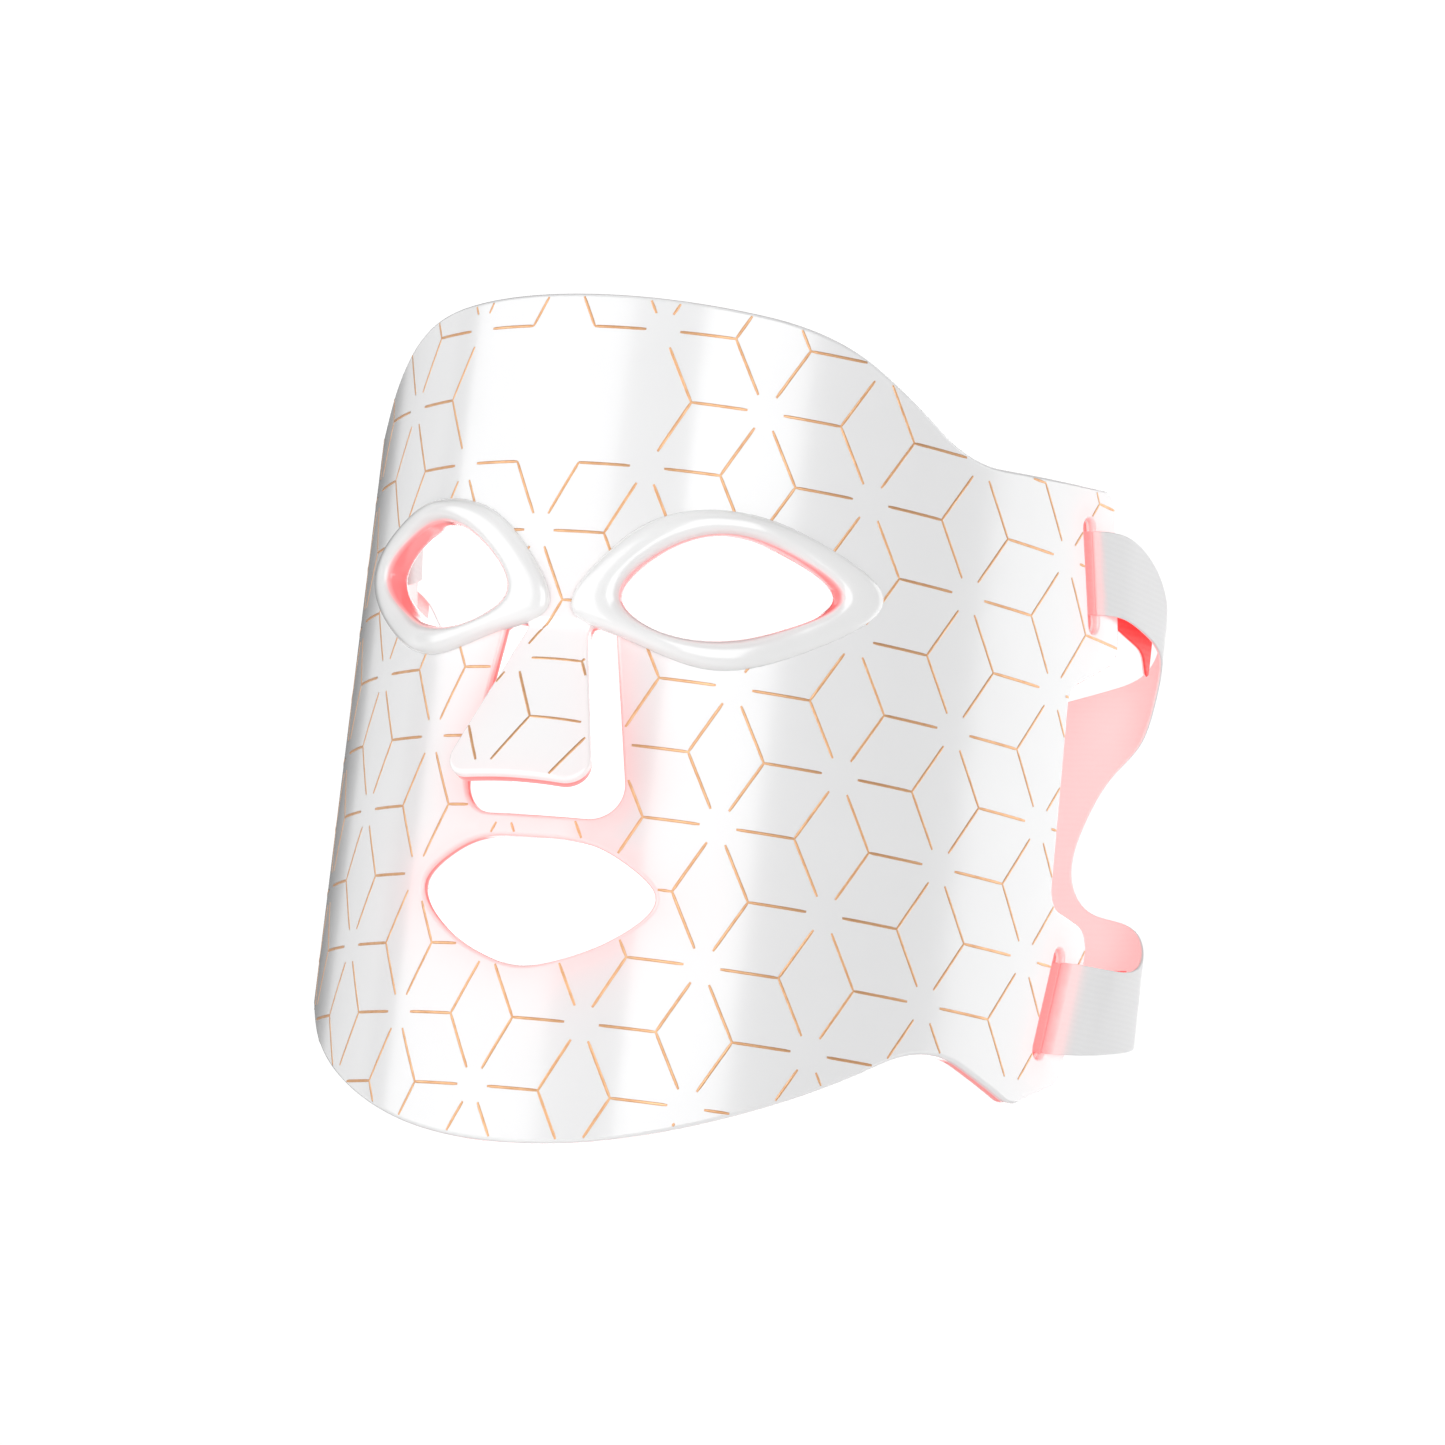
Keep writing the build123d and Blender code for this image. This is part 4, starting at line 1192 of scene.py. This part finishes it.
for level in ("upper", "lower"):
    for side_name, side in (("left", 1), ("right", -1)):
        key = level + "_" + side_name
        away = -side            # the left tails lie inside their arms and the right ones outside
        node = key + "_tail"
        corners = [list(corner) for corner in TAILS[level]]
        corners[0][0] -= TAIL_REACH
        corners[-1][0] -= TAIL_REACH
        # the tail webbing carries painted LED light: deep red on the left tails' outer faces, pink on every
        # tail's inner face, none on the right tails' outer faces
        red = 2.0 if side > 0 else 0.0
        layer(node + "_webbing", corners, arm_place(side, away * TAIL_OFF, STRAP_THICK, plan_of(node)), side,
              STRAP_THICK, STRAP, lambda flat, inset: np.where(inset < 0.4, red, 1.0), node, node)
        for kind, off, look, body, stands_for in (
                ("hook", HOOK_OFF, HOOK_PILE, node, key + "_hook_pad"),
                ("loop", LOOP_OFF, LOOP_PILE, "head_strap", "strap_loop_pads")):
            place = arm_place(side, away * off, PAD_THICK)
            layer(key + "_" + kind + "_strip", pad_corners(*PADS[level]), place, side, PAD_THICK, look,
                  lambda flat, inset: inset * 0, body, stands_for)


# ---------------- materials of the CAD nodes that stay in sight
def dress(look, *nodes):
    for node in nodes:
        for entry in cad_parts[node].material_slots:
            entry.material = look


dress(speckled("circuit_film", (0.85, 0.6, 0.35), 0.4, 300.0), "flex_circuit_front", "flex_circuit_left_wing",
      "flex_circuit_right_wing", "nose_flap_circuit")
dress(speckled("slot_plate_plastic", (0.86, 0.86, 0.86), 0.5, 200.0), "slot_plates_left", "slot_plates_right")
dress(speckled("board_mask", (0.08, 0.3, 0.18), 0.45, 500.0), "driver_board")
dress(speckled("chip_epoxy", (0.05, 0.05, 0.05), 0.5, 600.0), "driver_chips")
dress(speckled("capacitor_ceramic", (0.68, 0.56, 0.42), 0.6, 600.0), "board_capacitors")
dress(speckled("socket_steel", (0.72, 0.72, 0.73), 0.28, 300.0, Metallic=1.0), "usb_socket_shell")
dress(speckled("tongue_plastic", (0.06, 0.06, 0.07), 0.45, 300.0), "usb_socket_tongue")


# ---------------- stage, lights and camera
RIGHT = Vector((0.93006, 0.34945, 0.11345))
UP = Vector((-0.05509, -0.17264, 0.98344))
BACK = Vector((0.36325, -0.92091, -0.14131))
CAMERA_PLACE = Vector((0.4655, -1.0867, -0.1954))
LENS_IN_FRAME_WIDTHS = 4.0588


def stage():
    floor = bpy.data.meshes.new("floor")
    size, height = 9.0, -1.2
    corners = [(-size, -size, height), (size, -size, height), (size, size, height), (-size, size, height)]
    floor.from_pydata(corners, [], [[0, 1, 2, 3]])
    piece = bpy.data.objects.new("floor", floor)
    bpy.context.scene.collection.objects.link(piece)
    made, tree, shader = material("pale_floor", (0.6, 0.6, 0.6), 0.6)
    shader.inputs["Emission Color"].default_value = (1.0, 1.0, 1.0, 1.0)
    shader.inputs["Emission Strength"].default_value = 0.25
    cloudy = noise(tree, 3.0)
    tree.links.new(ramp(tree, cloudy.outputs["Fac"], 0.55, 0.65), shader.inputs["Roughness"])
    piece.data.materials.append(made)


def soft_light(name, azimuth, elevation, distance, width, height, power, color=(1.0, 1.0, 1.0)):
    """Softbox aimed at the mask; azimuth 0 is in front of it, positive towards +X."""
    lamp = bpy.data.lights.new(name, "AREA")
    lamp.shape, lamp.size, lamp.size_y = "RECTANGLE", width, height
    lamp.energy, lamp.color = power, color
    piece = bpy.data.objects.new(name, lamp)
    a, e = radians(azimuth), radians(elevation)
    aim = Vector((0.0, 0.04, -0.03))
    place = aim + Vector((sin(a) * cos(e), -cos(a) * cos(e), sin(e))) * distance
    piece.location = place
    piece.rotation_euler = (place - aim).to_track_quat("Z", "Y").to_euler()
    piece.visible_camera = False
    bpy.context.scene.collection.objects.link(piece)


stage()
# tall softboxes, so that soft vertical bands of light and grey lie on the curved sheet
for name, azimuth, width, power in (("left_side", -110.0, 0.9, 2.4), ("fill", -45.0, 2.5, 21.0),
                                    ("key", 42.0, 1.0, 15.5), ("right_side", 132.0, 1.2, 11.5),
                                    ("back", 180.0, 1.5, 15.0)):
    soft_light(name, azimuth, 8.0, 1.6, width, 1.6, power)
soft_light("top", 0.0, 78.0, 1.6, 1.2, 0.9, 2.5)
soft_light("low", -28.0, -40.0, 1.4, 1.0, 0.7, 1.0)

world = bpy.data.worlds.new("studio")
world.use_nodes = True
bpy.context.scene.world = world
tree = world.node_tree
background = tree.nodes["Background"]
background.inputs["Color"].default_value = (1.0, 1.0, 1.0, 1.0)
background.inputs["Strength"].default_value = 0.1
seen = tree.nodes.new("ShaderNodeBackground")
seen.inputs["Color"].default_value = (1.0, 1.0, 1.0, 1.0)
seen.inputs["Strength"].default_value = 1.05
path = tree.nodes.new("ShaderNodeLightPath")
blend = tree.nodes.new("ShaderNodeMixShader")
tree.links.new(path.outputs["Is Camera Ray"], blend.inputs[0])
tree.links.new(background.outputs[0], blend.inputs[1])
tree.links.new(seen.outputs[0], blend.inputs[2])
tree.links.new(blend.outputs[0], tree.nodes["World Output"].inputs["Surface"])

bpy.context.scene.view_settings.view_transform = "Standard"

camera_data = bpy.data.cameras.new("camera")
camera_data.sensor_width = 36.0
camera_data.lens = 36.0 * LENS_IN_FRAME_WIDTHS
camera_data.clip_end = 50.0
camera = bpy.data.objects.new("camera", camera_data)
camera.matrix_world = Matrix.Translation(CAMERA_PLACE) @ Matrix((RIGHT, UP, BACK)).transposed().to_4x4()
bpy.context.scene.collection.objects.link(camera)
bpy.context.scene.camera = camera
